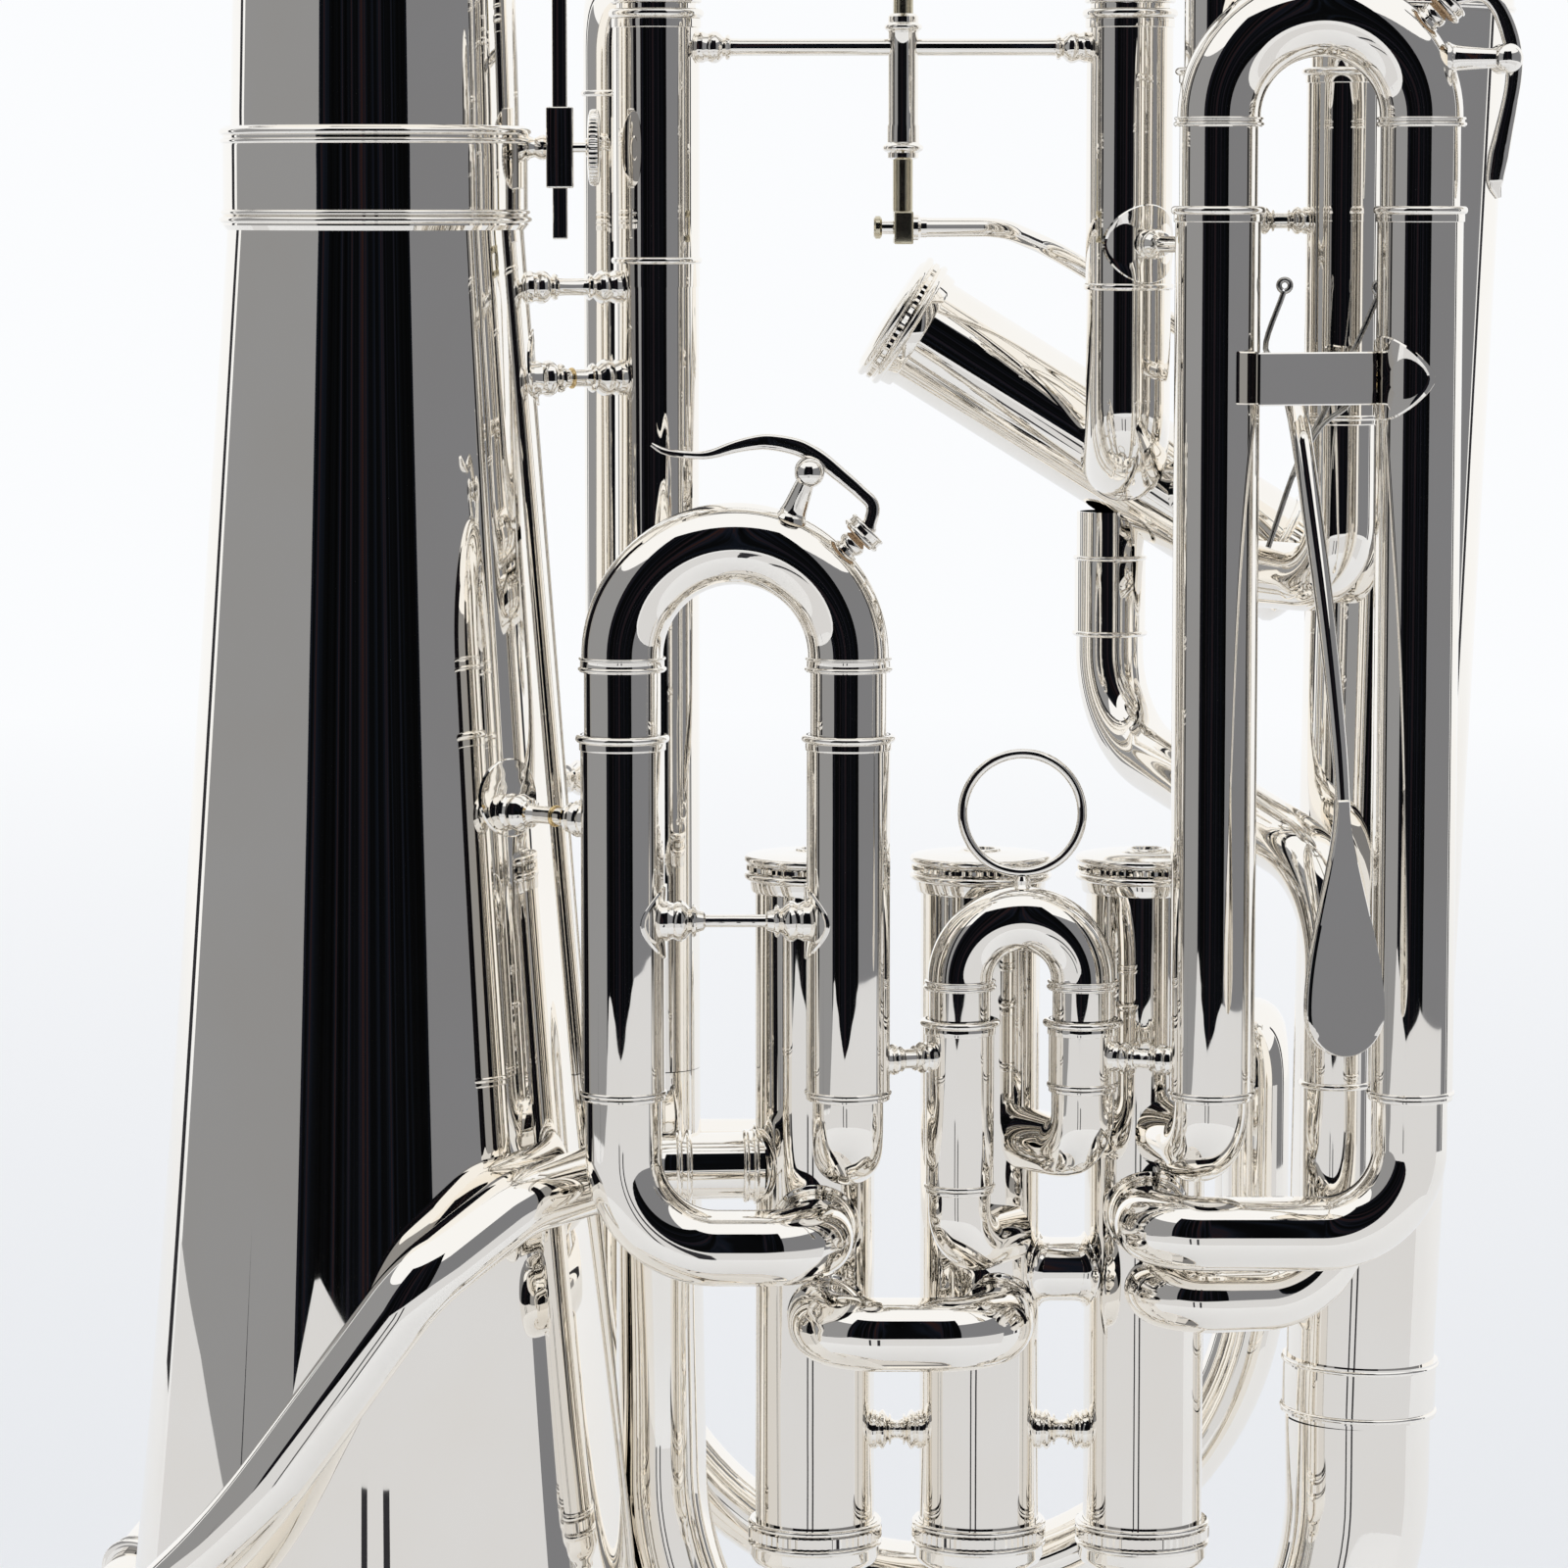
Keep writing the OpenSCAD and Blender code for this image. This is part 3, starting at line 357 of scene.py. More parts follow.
def block(lo, hi, round_r):
    """Box with rounded edges"""
    lo, hi = Vector(lo), Vector(hi)
    bm = bmesh.new()
    bmesh.ops.create_cube(bm, size=1, matrix=Matrix.LocRotScale((0, 0, 0), None, hi - lo))
    bmesh.ops.bevel(bm, geom=bm.edges[:], offset=round_r, segments=3, affect="EDGES", profile=0.5)
    verts = [tuple((lo + hi) / 2 + v.co) for v in bm.verts]
    faces = [tuple(v.index for v in f.verts) for f in bm.faces]
    bm.free()
    return verts, faces


def smooth_line(points, per=8):
    """Catmull-Rom line of (point, tangent) through a few points"""
    p = [vec(q) for q in points]
    p = [2 * p[0] - p[1]] + p + [2 * p[-1] - p[-2]]
    line = []
    for a, b, c, d in zip(p, p[1:], p[2:], p[3:]):
        linear, square, cubic = c - a, 2 * a - 5 * b + 4 * c - d, 3 * b - a - 3 * c + d
        for t in np.linspace(0, 1, per, endpoint=False):
            pos = b + 0.5 * (linear * t + square * t ** 2 + cubic * t ** 3)
            tan = 0.5 * (linear + 2 * square * t + 3 * cubic * t ** 2)
            line.append((pos, unit(tan)))
    line.append((p[-2], unit(p[-2] - p[-3])))
    return line


def along(line, values):
    """Values given at even steps, spread over the points of a line"""
    x = np.linspace(0, 1, len(values))
    return list(np.interp(np.linspace(0, 1, len(line)), x, values))


def blade(points, wide, thick, across):
    """Bar with a rounded square section, wide along the vector across, through a few points"""
    line = smooth_line(points)
    across = vec(across)
    a = np.linspace(0, 2 * pi, 24, endpoint=False)
    side, face = (np.sign(f) * np.abs(f) ** 0.5 for f in (np.cos(a), np.sin(a)))
    rings = []
    for (c, t), w, h in zip(line, along(line, wide), along(line, thick)):
        u = unit(across - t * (across @ t))
        v = np.cross(t, u)
        rings.append(c + np.outer(w / 2 * side, u) + np.outer(h / 2 * face, v))
    return shell(rings, first=line[0][0], last=line[-1][0])


def coil(at, axis, r, h, turns, wire, per=40):
    w = unit(axis)
    u, v = side_axes(w)
    at = vec(at)
    line = []
    steps = int(turns * per)
    rise = (h - 2 * wire) / steps
    for i in range(steps + 1):
        a = 2 * pi * i / per
        c = at + w * (wire + rise * i) + r * (cos(a) * u + sin(a) * v)
        t = unit(r * (cos(a) * v - sin(a) * u) * 2 * pi / per + w * rise)
        line.append((c, t))
    return sweep(line, wire, n=10)


# ---- materials ----


def new_material(name):
    mat = bpy.data.materials.new(name)
    mat.use_nodes = True
    return mat, mat.node_tree.nodes, mat.node_tree.links


def noise_maker(nodes, links, stretch):
    """Function that adds noise over the object's coordinates, stretched along its axes"""
    place = nodes.new("ShaderNodeTexCoord")
    warp = nodes.new("ShaderNodeMapping")
    warp.inputs["Scale"].default_value = stretch
    links.new(place.outputs["Object"], warp.inputs["Vector"])

    def noise(size, detail):
        n = nodes.new("ShaderNodeTexNoise")
        n.inputs["Scale"].default_value = size
        n.inputs["Detail"].default_value = detail
        links.new(warp.outputs["Vector"], n.inputs["Vector"])
        return n.outputs["Fac"]

    return noise


def colour_ramp(nodes, links, value, stops, socket):
    """Colours by the value of a noise, led to a socket; stops holds (position, colour)"""
    ramp = nodes.new("ShaderNodeValToRGB")
    marks = ramp.color_ramp.elements
    marks[0].position, marks[1].position = stops[0][0], stops[-1][0]
    for i, (position, colour) in enumerate(stops):
        mark = marks[0] if i == 0 else marks[-1] if i == len(stops) - 1 else marks.new(position)
        mark.color = (*colour, 1)
    links.new(value, ramp.inputs["Fac"])
    links.new(ramp.outputs["Color"], socket)


def material(name, colour_a, colour_b, metallic, rough, scale=40.0, ripple=0.0, ripple_scale=14.0,
             grain=0.0, stretch=(1, 1, 1)):
    """Procedural finish: two close colours and two roughnesses mixed by noise, with a slow ripple
    and a fine grain"""
    mat, nodes, links = new_material(name)
    bsdf = nodes["Principled BSDF"]
    bsdf.inputs["Metallic"].default_value = metallic
    noise = noise_maker(nodes, links, stretch)
    colour_ramp(nodes, links, noise(scale, 4), [(0.35, colour_a), (0.7, colour_b)], bsdf.inputs["Base Color"])
    spread = nodes.new("ShaderNodeMapRange")
    for socket, value in zip(("From Min", "From Max", "To Min", "To Max"), (0.35, 0.75, *rough)):
        spread.inputs[socket].default_value = value
    links.new(noise(scale * 2.3, 6), spread.inputs["Value"])
    links.new(spread.outputs["Result"], bsdf.inputs["Roughness"])
    normal = None
    grain_scale = 900.0
    for strength, size, depth in ((ripple, ripple_scale, 0.001), (grain, grain_scale, 0.0001)):
        if strength:
            bump = nodes.new("ShaderNodeBump")
            bump.inputs["Strength"].default_value = strength
            bump.inputs["Distance"].default_value = depth
            links.new(noise(size, 2), bump.inputs["Height"])
            if normal:
                links.new(normal.outputs["Normal"], bump.inputs["Normal"])
            normal = bump
    if normal:
        links.new(normal.outputs["Normal"], bsdf.inputs["Normal"])
    return mat


WARM = (0.968, 0.930, 0.868)
PALE = (0.978, 0.948, 0.897)
SILVER = material("silver_plate_tube", WARM, PALE, 1.0, (0.012, 0.035), ripple=0.05, ripple_scale=45)
BELL_SILVER = material("silver_plate_bell", WARM, PALE, 1.0, (0.012, 0.03), ripple=0.12, ripple_scale=9)
CAST_SILVER = material("silver_plate_cast", (0.955, 0.92, 0.86), PALE, 1.0, (0.03, 0.07), ripple=0.12,
                       ripple_scale=160)
BRASS = material("bare_brass", (0.80, 0.62, 0.33), (0.72, 0.53, 0.26), 1.0, (0.08, 0.2), scale=220)
DULL_BRASS = material("aged_brass", (0.58, 0.53, 0.40), (0.68, 0.62, 0.47), 1.0, (0.12, 0.24), ripple=0.1,
                      ripple_scale=40)
STEEL = material("spring_wire", (0.50, 0.49, 0.47), (0.62, 0.61, 0.59), 1.0, (0.16, 0.28), scale=300)
LAPPED = material("lapped_piston", (0.66, 0.65, 0.62), (0.74, 0.73, 0.70), 1.0, (0.2, 0.3), scale=120,
                  grain=0.2, stretch=(1, 1, 12))
CORK = material("cork", (0.50, 0.33, 0.19), (0.68, 0.50, 0.32), 0.0, (0.7, 0.9), scale=900, ripple=0.3,
                ripple_scale=1400)
PEARL = material("pearl_inlay", (0.80, 0.82, 0.84), (0.95, 0.93, 0.90), 0.0, (0.12, 0.22), scale=180)


# ---- pieces ----


def piece(nodes, shells, finish, name=None, stands_for=True):
    """One visible piece from closed shells; it rides with the body of its first CAD node"""
    nodes = [nodes] if isinstance(nodes, str) else nodes
    verts, faces = [], []
    for v, f in shells:
        base = len(verts)
        verts += v
        faces += [tuple(base + i for i in face) for face in f]
    mesh = bpy.data.meshes.new(name or nodes[0] + "_skin")
    mesh.from_pydata((np.array(verts) * MM).tolist(), [], faces)
    bm = bmesh.new()
    bm.from_mesh(mesh)
    bmesh.ops.recalc_face_normals(bm, faces=bm.faces)
    bm.to_mesh(mesh)
    bm.free()
    mesh.shade_smooth()
    mesh.set_sharp_from_angle(angle=radians(32))
    mesh.materials.append(finish)
    obj = bpy.data.objects.new(name or nodes[0] + "_skin", mesh)
    bpy.context.scene.collection.objects.link(obj)
    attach(obj, body_of(nodes[0]))
    if stands_for:
        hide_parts(*nodes)


def finish_node(node, finish):
    mesh = frame["nodes"][node].data
    mesh.materials.clear()
    mesh.materials.append(finish)


def bell_r(z):
    spread = BELL_R - TAIL_R - BELL_TAPER * BELL_TOP
    return TAIL_R + BELL_TAPER * (BELL_TOP - z) + spread * math.exp(-z / FLARE_L)


def make_bell():
    """Spun bell, in steps that grow along its tail, with a wire in its rim"""
    heights = [*np.arange(2.0, 60, 2), *np.arange(60, 160, 5), *np.arange(160, BELL_TOP + 1, 10)]
    outer = [(bell_r(z), z) for z in heights]
    inner = [(r - BELL_WALL, z) for r, z in reversed(outer)]
    wire_r = 2.4
    piece("bell", [
        lathe(outer + inner, (0, 0, 0), UP, 192),
        torus((0, 0, wire_r), UP, BELL_R - wire_r, wire_r, 192, 28),
    ], BELL_SILVER)


def ease(u):
    return u * u * (3 - 2 * u)


def bottom_bow_line():
    """Points and tangents from the bell's tail round to the outer branch, which leans outwards"""
    steps, lean = 88, 1.64
    line = [((0, 0, BELL_TOP), UP), ((0, 0, BELL_TOP + 12), UP)]
    for i in range(steps + 1):
        u = i / steps
        a = radians((180 + lean) * u)
        slope = BRANCH_Y * 6 * u * (1 - u) / radians(180 + lean)
        line.append(((BOW_R * (1 - cos(a)), BRANCH_Y * ease(u), BOW_Z + BOW_R * sin(a)),
                     unit((BOW_R * sin(a), slope, BOW_R * cos(a)))))
    return [(vec(c), vec(t)) for c, t in line]


def branch_axis():
    """Top end of the outer branch, and the direction of its axis"""
    top = bottom_bow_line()[-1][0]
    return top, unit(top - BRANCH_LOW)


def make_bottom_bow():
    line = bottom_bow_line()
    turns = len(line) - 3
    radii = [BOW_START_R + (BRANCH_TOP_R - BOW_START_R) * i / turns for i in range(turns + 1)]
    piece("bottom_bow", [sweep(line, [TAIL_R, TAIL_R] + radii, WALL, 96)], BELL_SILVER)
    top, u = branch_axis()
    branch = sweep([(BRANCH_LOW, u), (top, u)], [BRANCH_LOW_R, BRANCH_TOP_R], WALL, 96)
    piece("outer_branch", [branch], BELL_SILVER)


def make_top_bow():
    """Growing bow that joins the inner branch to the outer one, and the inner branch itself"""
    radius = (BRANCH_LOW[0] - INNER_X) / 2
    mid_x = (BRANCH_LOW[0] + INNER_X) / 2
    back, arc_z = 26.0, 200.0
    growth = 1.2
    route = []
    for t in np.linspace(0, 1, 16, endpoint=False):
        route.append(vec([INNER_X, MAIN_Y + (back - MAIN_Y) * ease(t), INNER_LOW + (arc_z - INNER_LOW) * t]))
    for t in np.linspace(0, 1, 61):
        a = pi * (1 + t)
        route.append(vec([mid_x + radius * cos(a), back + (BRANCH_Y - back) * ease(t),
                               arc_z + radius * sin(a)]))
    route.append(BRANCH_LOW)
    _, u = branch_axis()
    before, after = [route[0] + [0, 0, 1]] + route[:-1], route[1:] + [BRANCH_LOW + u]
    tangents = [unit(b - a) for a, b in zip(before, after)]
    m = len(route) - 1
    radii = [INNER_R + (BRANCH_LOW_R - INNER_R) * (i / m) ** growth for i in range(m + 1)]
    piece("top_bow", [sweep(list(zip(route, tangents)), radii, WALL, SIDES)], SILVER)
    ends = [[INNER_X, MAIN_Y, z] for z in (INNER_LOW, MAIN_LOW)]
    piece("inner_branch", [tube(ends, [], INNER_R)], SILVER)


def make_ferrules():
    """Beaded sleeve over the bell's tail, and a beaded ring at each end of the outer branch"""
    r = TAIL_R + 1.7
    low, high = 468, 489.4
    sleeve_profile = [
        (TAIL_R + FIT, low), (TAIL_R + 1.2, low), (r + 0.2, low + 1), *arc(r + 0.15, 470.1, 0.75, -90, 90),
        (r + FIT, 470.95), *arc(r, 471.6, 0.55, -90, 90), (r + FIT, 472.2),
        (r + FIT, 485.4), *arc(r, 486.3, 0.6, -90, 90), (r, 487.0),
        *arc(r, 488.2, 0.8, -90, 90), (TAIL_R + 1.2, high), (TAIL_R + FIT, high)]
    shells = [lathe(sleeve_profile, (0, 0, 0), UP, 160)]
    top, u = branch_axis()
    for at, branch_r in ((top - 13.5 * u, BRANCH_TOP_R), (BRANCH_LOW + u, BRANCH_LOW_R)):
        r = branch_r + 0.1
        ring = [(r, 0), (r + 1.0, 0), *arc(r + 0.7, 0.9, 0.55, -60, 90), (r + 0.75, 2.2), (r + 0.75, 9.8),
                *arc(r + 0.7, 11.2, 0.55, -90, 60), (r + 1.0, 12.1), (r, 12.1)]
        shells.append(lathe(ring, at, u, 96))
    piece("ferrules", shells, SILVER)


def make_leadpipe():
    """Leadpipe with two soldered collars, from the first casing to the receiver at its far end"""
    points = [[CASING_X[0], -16, 273.4], [54, -18.5, 273.4], [31, -46, 270.8], [11, -61, 256.8],
              [-26, -59, 206], [-58, -34, 172], [-71, 2, 160], [-70, 38, 158], [-58, 70, 168]]
    bends = [0, 18, 18, 20, 60, 36, 34, 34, 0]
    points = [vec(q) for q in points]
    start = points[0] - [CASING_R - 1.5, 0, 0]
    shells = [tube([start] + points[1:], bends, LEAD_R)]
    inward = unit(points[0] - points[1])
    for d in (10, 24):
        at = points[1] + d * inward
        shells += [bead(at + s * inward, inward, LEAD_R, 0.75, 1.3) for s in (-1, 1)]
        shells.append(collar(at, inward, LEAD_R, 0.35, 2.4))
    shells.append(solder((CASING_X[0], CASING_Y, points[0][2]), (-1, 0, 0), UP, CASING_R, LEAD_R))
    piece("leadpipe", shells, SILVER)

    socket_r, bore = LEAD_R + FIT, 6.5
    receiver = [
        (socket_r, -8), (7.9, -8), *arc(8.3, -6.9, 0.85, -90, 90), (7.9, -5.7), (8.0, -4.5),
        *arc(8.1, -3.9, 0.5, -90, 90), (7.9, -3.1), (8.45, 28.5), (8.9, 29.6), (9.6, 30.2),
        *arc(9.6, 31.0, 0.6, -90, 80), (9.55, 31.8), *arc(9.5, 32.9, 0.7, -80, 80), (9.0, 34.0),
        (bore + 0.6, 34.0), (bore, 33.3), (bore, 0.2), (socket_r, -0.4)]
    piece("mouthpiece_receiver", [lathe(receiver, points[-1], points[-1] - points[-2], 96)], SILVER)


def valve_place(k):
    """Origin on the outside of the bottom cap, and the direction towards the finger button"""
    if k < 3:
        return vec([CASING_X[k], CASING_Y, CAP_FACE_Z]), vec([0.0, 0.0, -1.0])
    return VALVE4_AT, unit(VALVE4_DIR)


def bottom_cap(k):
    """Profile with a raised rim round the hole, or a dished face on the fourth valve"""
    if k < 3:
        hole = 2.9
        face = [(hole, 0.6), (3.1, 0.15), (3.5, 0.0), (4.0, 0.1), (4.3, 0.45), (4.6, 0.6), (7.5, 0.6),
                (10.0, 0.75), (12.0, 1.0), (13.0, 1.2)]
    else:
        hole = 1.2
        face = [(hole, 1.2), (4.0, 1.1), (8.0, 0.8), (10.5, 0.5), (11.6, 0.45), (12.6, 0.75)]
    skirt = [(13.4, 1.3), *arc(13.95, 2.15, 0.85, -80, 80), (13.8, 3.1), (13.8, 3.25), (14.35, 3.5),
             (14.35, 4.4), (13.8, 4.65), (13.8, 4.8), *arc(13.95, 5.7, 0.85, -80, 80), (13.6, 6.7),
             (13.4, 8.6), (13.2, 9.0), (CASING_R + FIT, 9.0)]
    return face + skirt + [(CASING_R + FIT, 2.0), (hole, 2.0)]


def top_cap():
    """Profile with two beads, a knurled band and a domed shoulder down to the valve stem"""
    return [
        (CASING_R + FIT, -5), (13.6, -5), *arc(13.5, -4.2, 0.6, -80, 80), (13.5, -3.4), (14.1, -3.2),
        (14.1, -1.2), (13.5, -1.0), *arc(13.5, -0.1, 0.65, -80, 80), (13.5, 0.8), (13.6, 2.6), (12.9, 4.0),
        (11.0, 5.2), (8.6, 6.2), (7.6, 7.0), (7.4, 7.8), (6.6, 8.0), (3.75, 8.0), (3.65, 0.1),
        (CASING_R + FIT, 0.1)]


def make_valves():
    button = [(0, 0.0), (3.6, 0.0), (4.2, 0.5), (6.4, 1.0), (8.4, 1.6), (9.2, 2.4), (9.45, 3.4), (9.2, 4.4),
              (8.6, 5.0), (8.0, 5.1), (7.8, 4.7), (0, 4.6)]
    inlay = [(0, 4.5), (7.7, 4.5), (7.7, 4.9), (6.0, 5.25), (3.0, 5.5), (0, 5.6)]
    cap_h, gap, floor_h = 8, 1.5, 2.1
    caps, tops = [], []
    for k in range(4):
        at, w = valve_place(k)
        length = VALVE_LEN[k]
        casing = [(BORE_R, floor_h), (CASING_R - 0.3, floor_h), (CASING_R, floor_h + 0.3),
                  (CASING_R, length - 0.2), (BORE_R, length - 0.2)]
        piece(f"valve_casing_{k + 1}", [lathe(casing, at, w, 96)], SILVER)
        caps.append(lathe(bottom_cap(k), at, w, 240, knurl=(60, 0.3, 3.45, 4.5)))
        tops.append(lathe(top_cap(), at + length * w, w, 240, knurl=(60, 0.3, -3.3, -1.1)))
        seat = at + (length + cap_h + STROKE + gap) * w
        piece(f"finger_button_{k + 1}", [lathe(button, seat, w, 72)], SILVER)
        piece(f"finger_button_{k + 1}", [lathe(inlay, seat, w, 72)], PEARL,
              name=f"button_inlay_{k + 1}", stands_for=False)
        finish_node(f"piston_{k + 1}", LAPPED)
        piece(f"valve_spring_{k + 1}", [coil(at + floor_h * w, w, 8.2, 21.8, 5, 0.6)], STEEL)
    piece("bottom_valve_caps", caps, SILVER)
    piece("top_valve_caps", tops, SILVER)


def sleeve(x, y, low, top, r, ring_r, tube_r):
    """Outer slide leg: a wire ring on a thin collar at its open end, and a fine seam over the lower tube"""
    return [
        tube([[x, y, low], [x, y, top]], [], r),
        bead((x, y, top - 0.85), UP, r + 0.05, ring_r - r, 1.7),
        collar((x, y, top - 2.4), UP, r, 0.28, 1.6),
        bead((x, y, low), UP, r - 0.05, 0.42, 1.1),
        collar((x, y, low - 0.9), UP, tube_r, max(r - tube_r, 0.25), 1.2),
    ]


def slide_bow(at, bend, y, low, sleeve_r, bow_r, ferrule_h):
    """Inner legs with a beaded ferrule each, and the bow between them, whose middle is at"""
    leg_r = sleeve_r - WALL - FIT
    r, z, top = sleeve_r, at[2] - ferrule_h, at[2]
    ferrule = [(leg_r - 0.3, z), (r + 0.1, z), *arc(r + 0.05, z + 0.55, 0.42, -80, 80, 6),
               (r + 0.02, z + 1.05), (r + 0.02, top - 0.75), *arc(r, top - 0.35, 0.32, -80, 80, 6),
               (leg_r - 0.3, top)]
    left, right = at[0] - bend, at[0] + bend
    foot, crown = top - 0.6, top + bend
    shells = [tube([[left, y, foot], [left, y, crown], [right, y, crown], [right, y, foot]],
                   [0, bend, bend, 0], bow_r, 0.8)]
    for x in (left, right):
        shells.append(tube([[x, y, low], [x, y, top - 0.3]], [], leg_r, 0.6))
        shells.append(lathe(ferrule, (x, y, 0), UP))
    return shells


def make_slide(which, y, r, ring_r, top, legs, bow, flange=None):
    """Outer legs with the tubes below them, and the bow that draws out of them.
    legs holds (x, foot, route below the foot, its bends, tube radius), bow the values for slide_bow
    and flange the valve and height at which a tube is soldered on."""
    shells = []
    for x, foot, route, bends, tube_r in legs:
        shells += sleeve(x, y, foot, top, r, ring_r, tube_r)
        shells.append(tube([[x, y, foot + 0.2], *route], bends, tube_r))
    if flange:
        k, z, tube_r = flange
        shells.append(solder((CASING_X[k], CASING_Y, z), (0, -1, 0), UP, CASING_R, tube_r))
    piece(f"{which}_slide_sleeves", shells, SILVER)
    at, bend, low, bow_r, ferrule_h = bow
    piece(f"{which}_slide_bow", slide_bow(at, bend, y, low, r, bow_r, ferrule_h), SILVER)


def make_slides():
    y, z, x1, x3 = SLIDE_Y, 261.8, CASING_X[0], CASING_X[2]
    make_slide("first", y, S1_R, 9.5, 367, [
        (S1_X[0], 294, [[S1_X[0], y, z], [x1, y, z], [x1, -26, z]], [0, 19, 11, 0], 7.8),
        (S1_X[1], 294, [[S1_X[1], y, 280.5], [S1_X[1], -24, 280.5]], [0, 10, 0], 7.2),
    ], (BOW1_AT, BEND_1, 315, 8.25, 3), (0, z, 7.8))

    make_slide("second", S2_Y, S2_R, 8.2, 307.6, [
        (S2_X[0], 273, [[S2_X[0], S2_Y, 260.5], [131, -22, 260.5]], [0, 8, 0], 6.4),
        (S2_X[1], 294, [[S2_X[1], S2_Y, 280], [134.5, -20, 280]], [0, 8, 0], 6.4),
    ], (S2_AT, 12.6, 298.6, 6.6, 2))

    z = 264.8
    make_slide("third", y, S3_R, 9.4, 473, [
        (S3_X[0], 294, [[S3_X[0], y, 281.6], [165, -25, 281.6]], [0, 10, 0], 7.6),
        (S3_X[1], 294, [[S3_X[1], y, z], [x3, y, z], [x3, -26, z]], [0, 18, 11, 0], 7.6),
    ], (BOW3_AT, BEND_3, 330, 8.3, 2), (2, z, 7.6))

    z = 396.5
    make_slide("fourth", S4_Y, S4_R, 8.8, 501, [
        (S4_X[0], 430, [[S4_X[0], S4_Y, 411], [174.5, 31, 411]], [0, 10, 0], 7.0),
        (S4_X[1], 430, [[S4_X[1], S4_Y, z], [178.5, 4, z], [178.5, 33, z]], [0, 12, 12, 0], 7.0),
    ], (S4_AT, 12.85, 452, 7.3, 3))


def make_main_slide():
    """Tuning slide behind the others, with an elbow under its right leg"""
    left, right = MAIN_X
    shells = []
    for x in MAIN_X:
        shells += [tube([[x, MAIN_Y, MAIN_LOW], [x, MAIN_Y, MAIN_TOP]], [], MAIN_R),
                   bead((x, MAIN_Y, MAIN_TOP - 1), UP, MAIN_R, 0.95, 2),
                   collar((x, MAIN_Y, MAIN_TOP - 3), UP, MAIN_R, 0.3, 2)]
    shells.append(bead((left, MAIN_Y, 461.5), UP, MAIN_R, 0.5, 1.4))
    shells.append(bead((right, MAIN_Y, MAIN_LOW), UP, MAIN_R - 0.1, 0.55, 1.5))
    elbow_z = 419
    shells.append(tube([[right, MAIN_Y, MAIN_LOW + 0.3], [right, MAIN_Y, elbow_z], [right, 31, elbow_z]],
                       [0, 13, 0], MAIN_R - 0.2))
    piece("main_slide_sleeves", shells, SILVER)
    piece("main_slide_bow", slide_bow(MAIN_AT, MAIN_BEND, MAIN_Y, 470, MAIN_R, 8.4, 4), SILVER)


def make_valve_tubes():
    """Tubes that lead from one valve to the next"""
    r, z, y, front = 7.6, 243.4, -20, -45.5
    left, right = CASING_X[0] + 1.9, CASING_X[1] + 2.9
    shells = [tube([[left, y, z], [left, front, z], [right, front, z], [right, y, z]], [0, 12, 12, 0], r)]
    shells += [solder((x, CASING_Y, z), (0, -1, 0), UP, CASING_R - 0.2, r) for x in (left, right)]
    piece("cross_bow_1_2", shells, SILVER)

    r, z, inset = 6.7, 251, 11.6
    shells = [tube([[CASING_X[1] + inset, CASING_Y, z], [CASING_X[2] - inset, CASING_Y, z]], [], r),
              solder((CASING_X[1], CASING_Y, z), (1, 0, 0), UP, CASING_R, r, 1.2),
              solder((CASING_X[2], CASING_Y, z), (-1, 0, 0), UP, CASING_R, r, 1.2)]
    piece("knuckle_2_3", shells, SILVER)

    r, z = 7.3, 249
    x, y = 199, -29.5
    end_x, end_y = 155.8, 42
    shells = [
        tube([[163, -24, z], [163, -37, z], [x, y, z], [x, y, 336], [end_x, end_y, 359], [end_x, end_y, 407]],
             [0, 10, 16, 24, 24, 0], r),
        bead((x, y, 293), UP, r, 0.6, 1.4)]
    ring = [(r - 0.3, 380), *arc(r + 0.3, 380.6, 0.6, -90, 80, 6), (r + 0.4, 381.4), (r + 0.4, 396.2),
            *arc(r + 0.25, 397.0, 0.5, -80, 90, 6), (r - 0.3, 397.5)]
    shells.append(lathe(ring, (end_x, end_y, 0), UP))
    piece("valve_3_to_4_tube", shells, SILVER)


def make_compensating_loop():
    """Long loop behind the valves, from the first casing up, down, round and back to the third"""
    left, right = LOOP_X
    half = (right - left) / 2
    back = LOOP_Y + 21
    tip_z, round_z, first_z, third_z, step_z = 516, LOOP_Z - half, 262, 236, 291
    x1, x3 = CASING_X[0], CASING_X[2]
    route = [[x1, CASING_Y + 11, first_z], [x1, back, first_z], [left, back, first_z], [left, back, tip_z],
             [left, LOOP_Y, tip_z], [left, LOOP_Y, round_z], [right, LOOP_Y, round_z],
             [right, LOOP_Y, step_z], [right, back, step_z], [right, back, third_z], [x3, back, third_z],
             [x3, CASING_Y + 11, third_z]]
    bends = [0, 14, 14, 10.5, 10.5, half, half, 10.5, 10.5, 12, 12, 0]
    shells = [tube(route, bends, LOOP_R)]
    shells += [bead((left, LOOP_Y, z), UP, LOOP_R, 0.6, 1.4) for z in (455, 497)]
    for x, z in ((x1, first_z), (x3, third_z)):
        shells.append(solder((x, CASING_Y, z), (0, 1, 0), UP, CASING_R, LOOP_R))
    piece("compensating_loop", shells, SILVER)


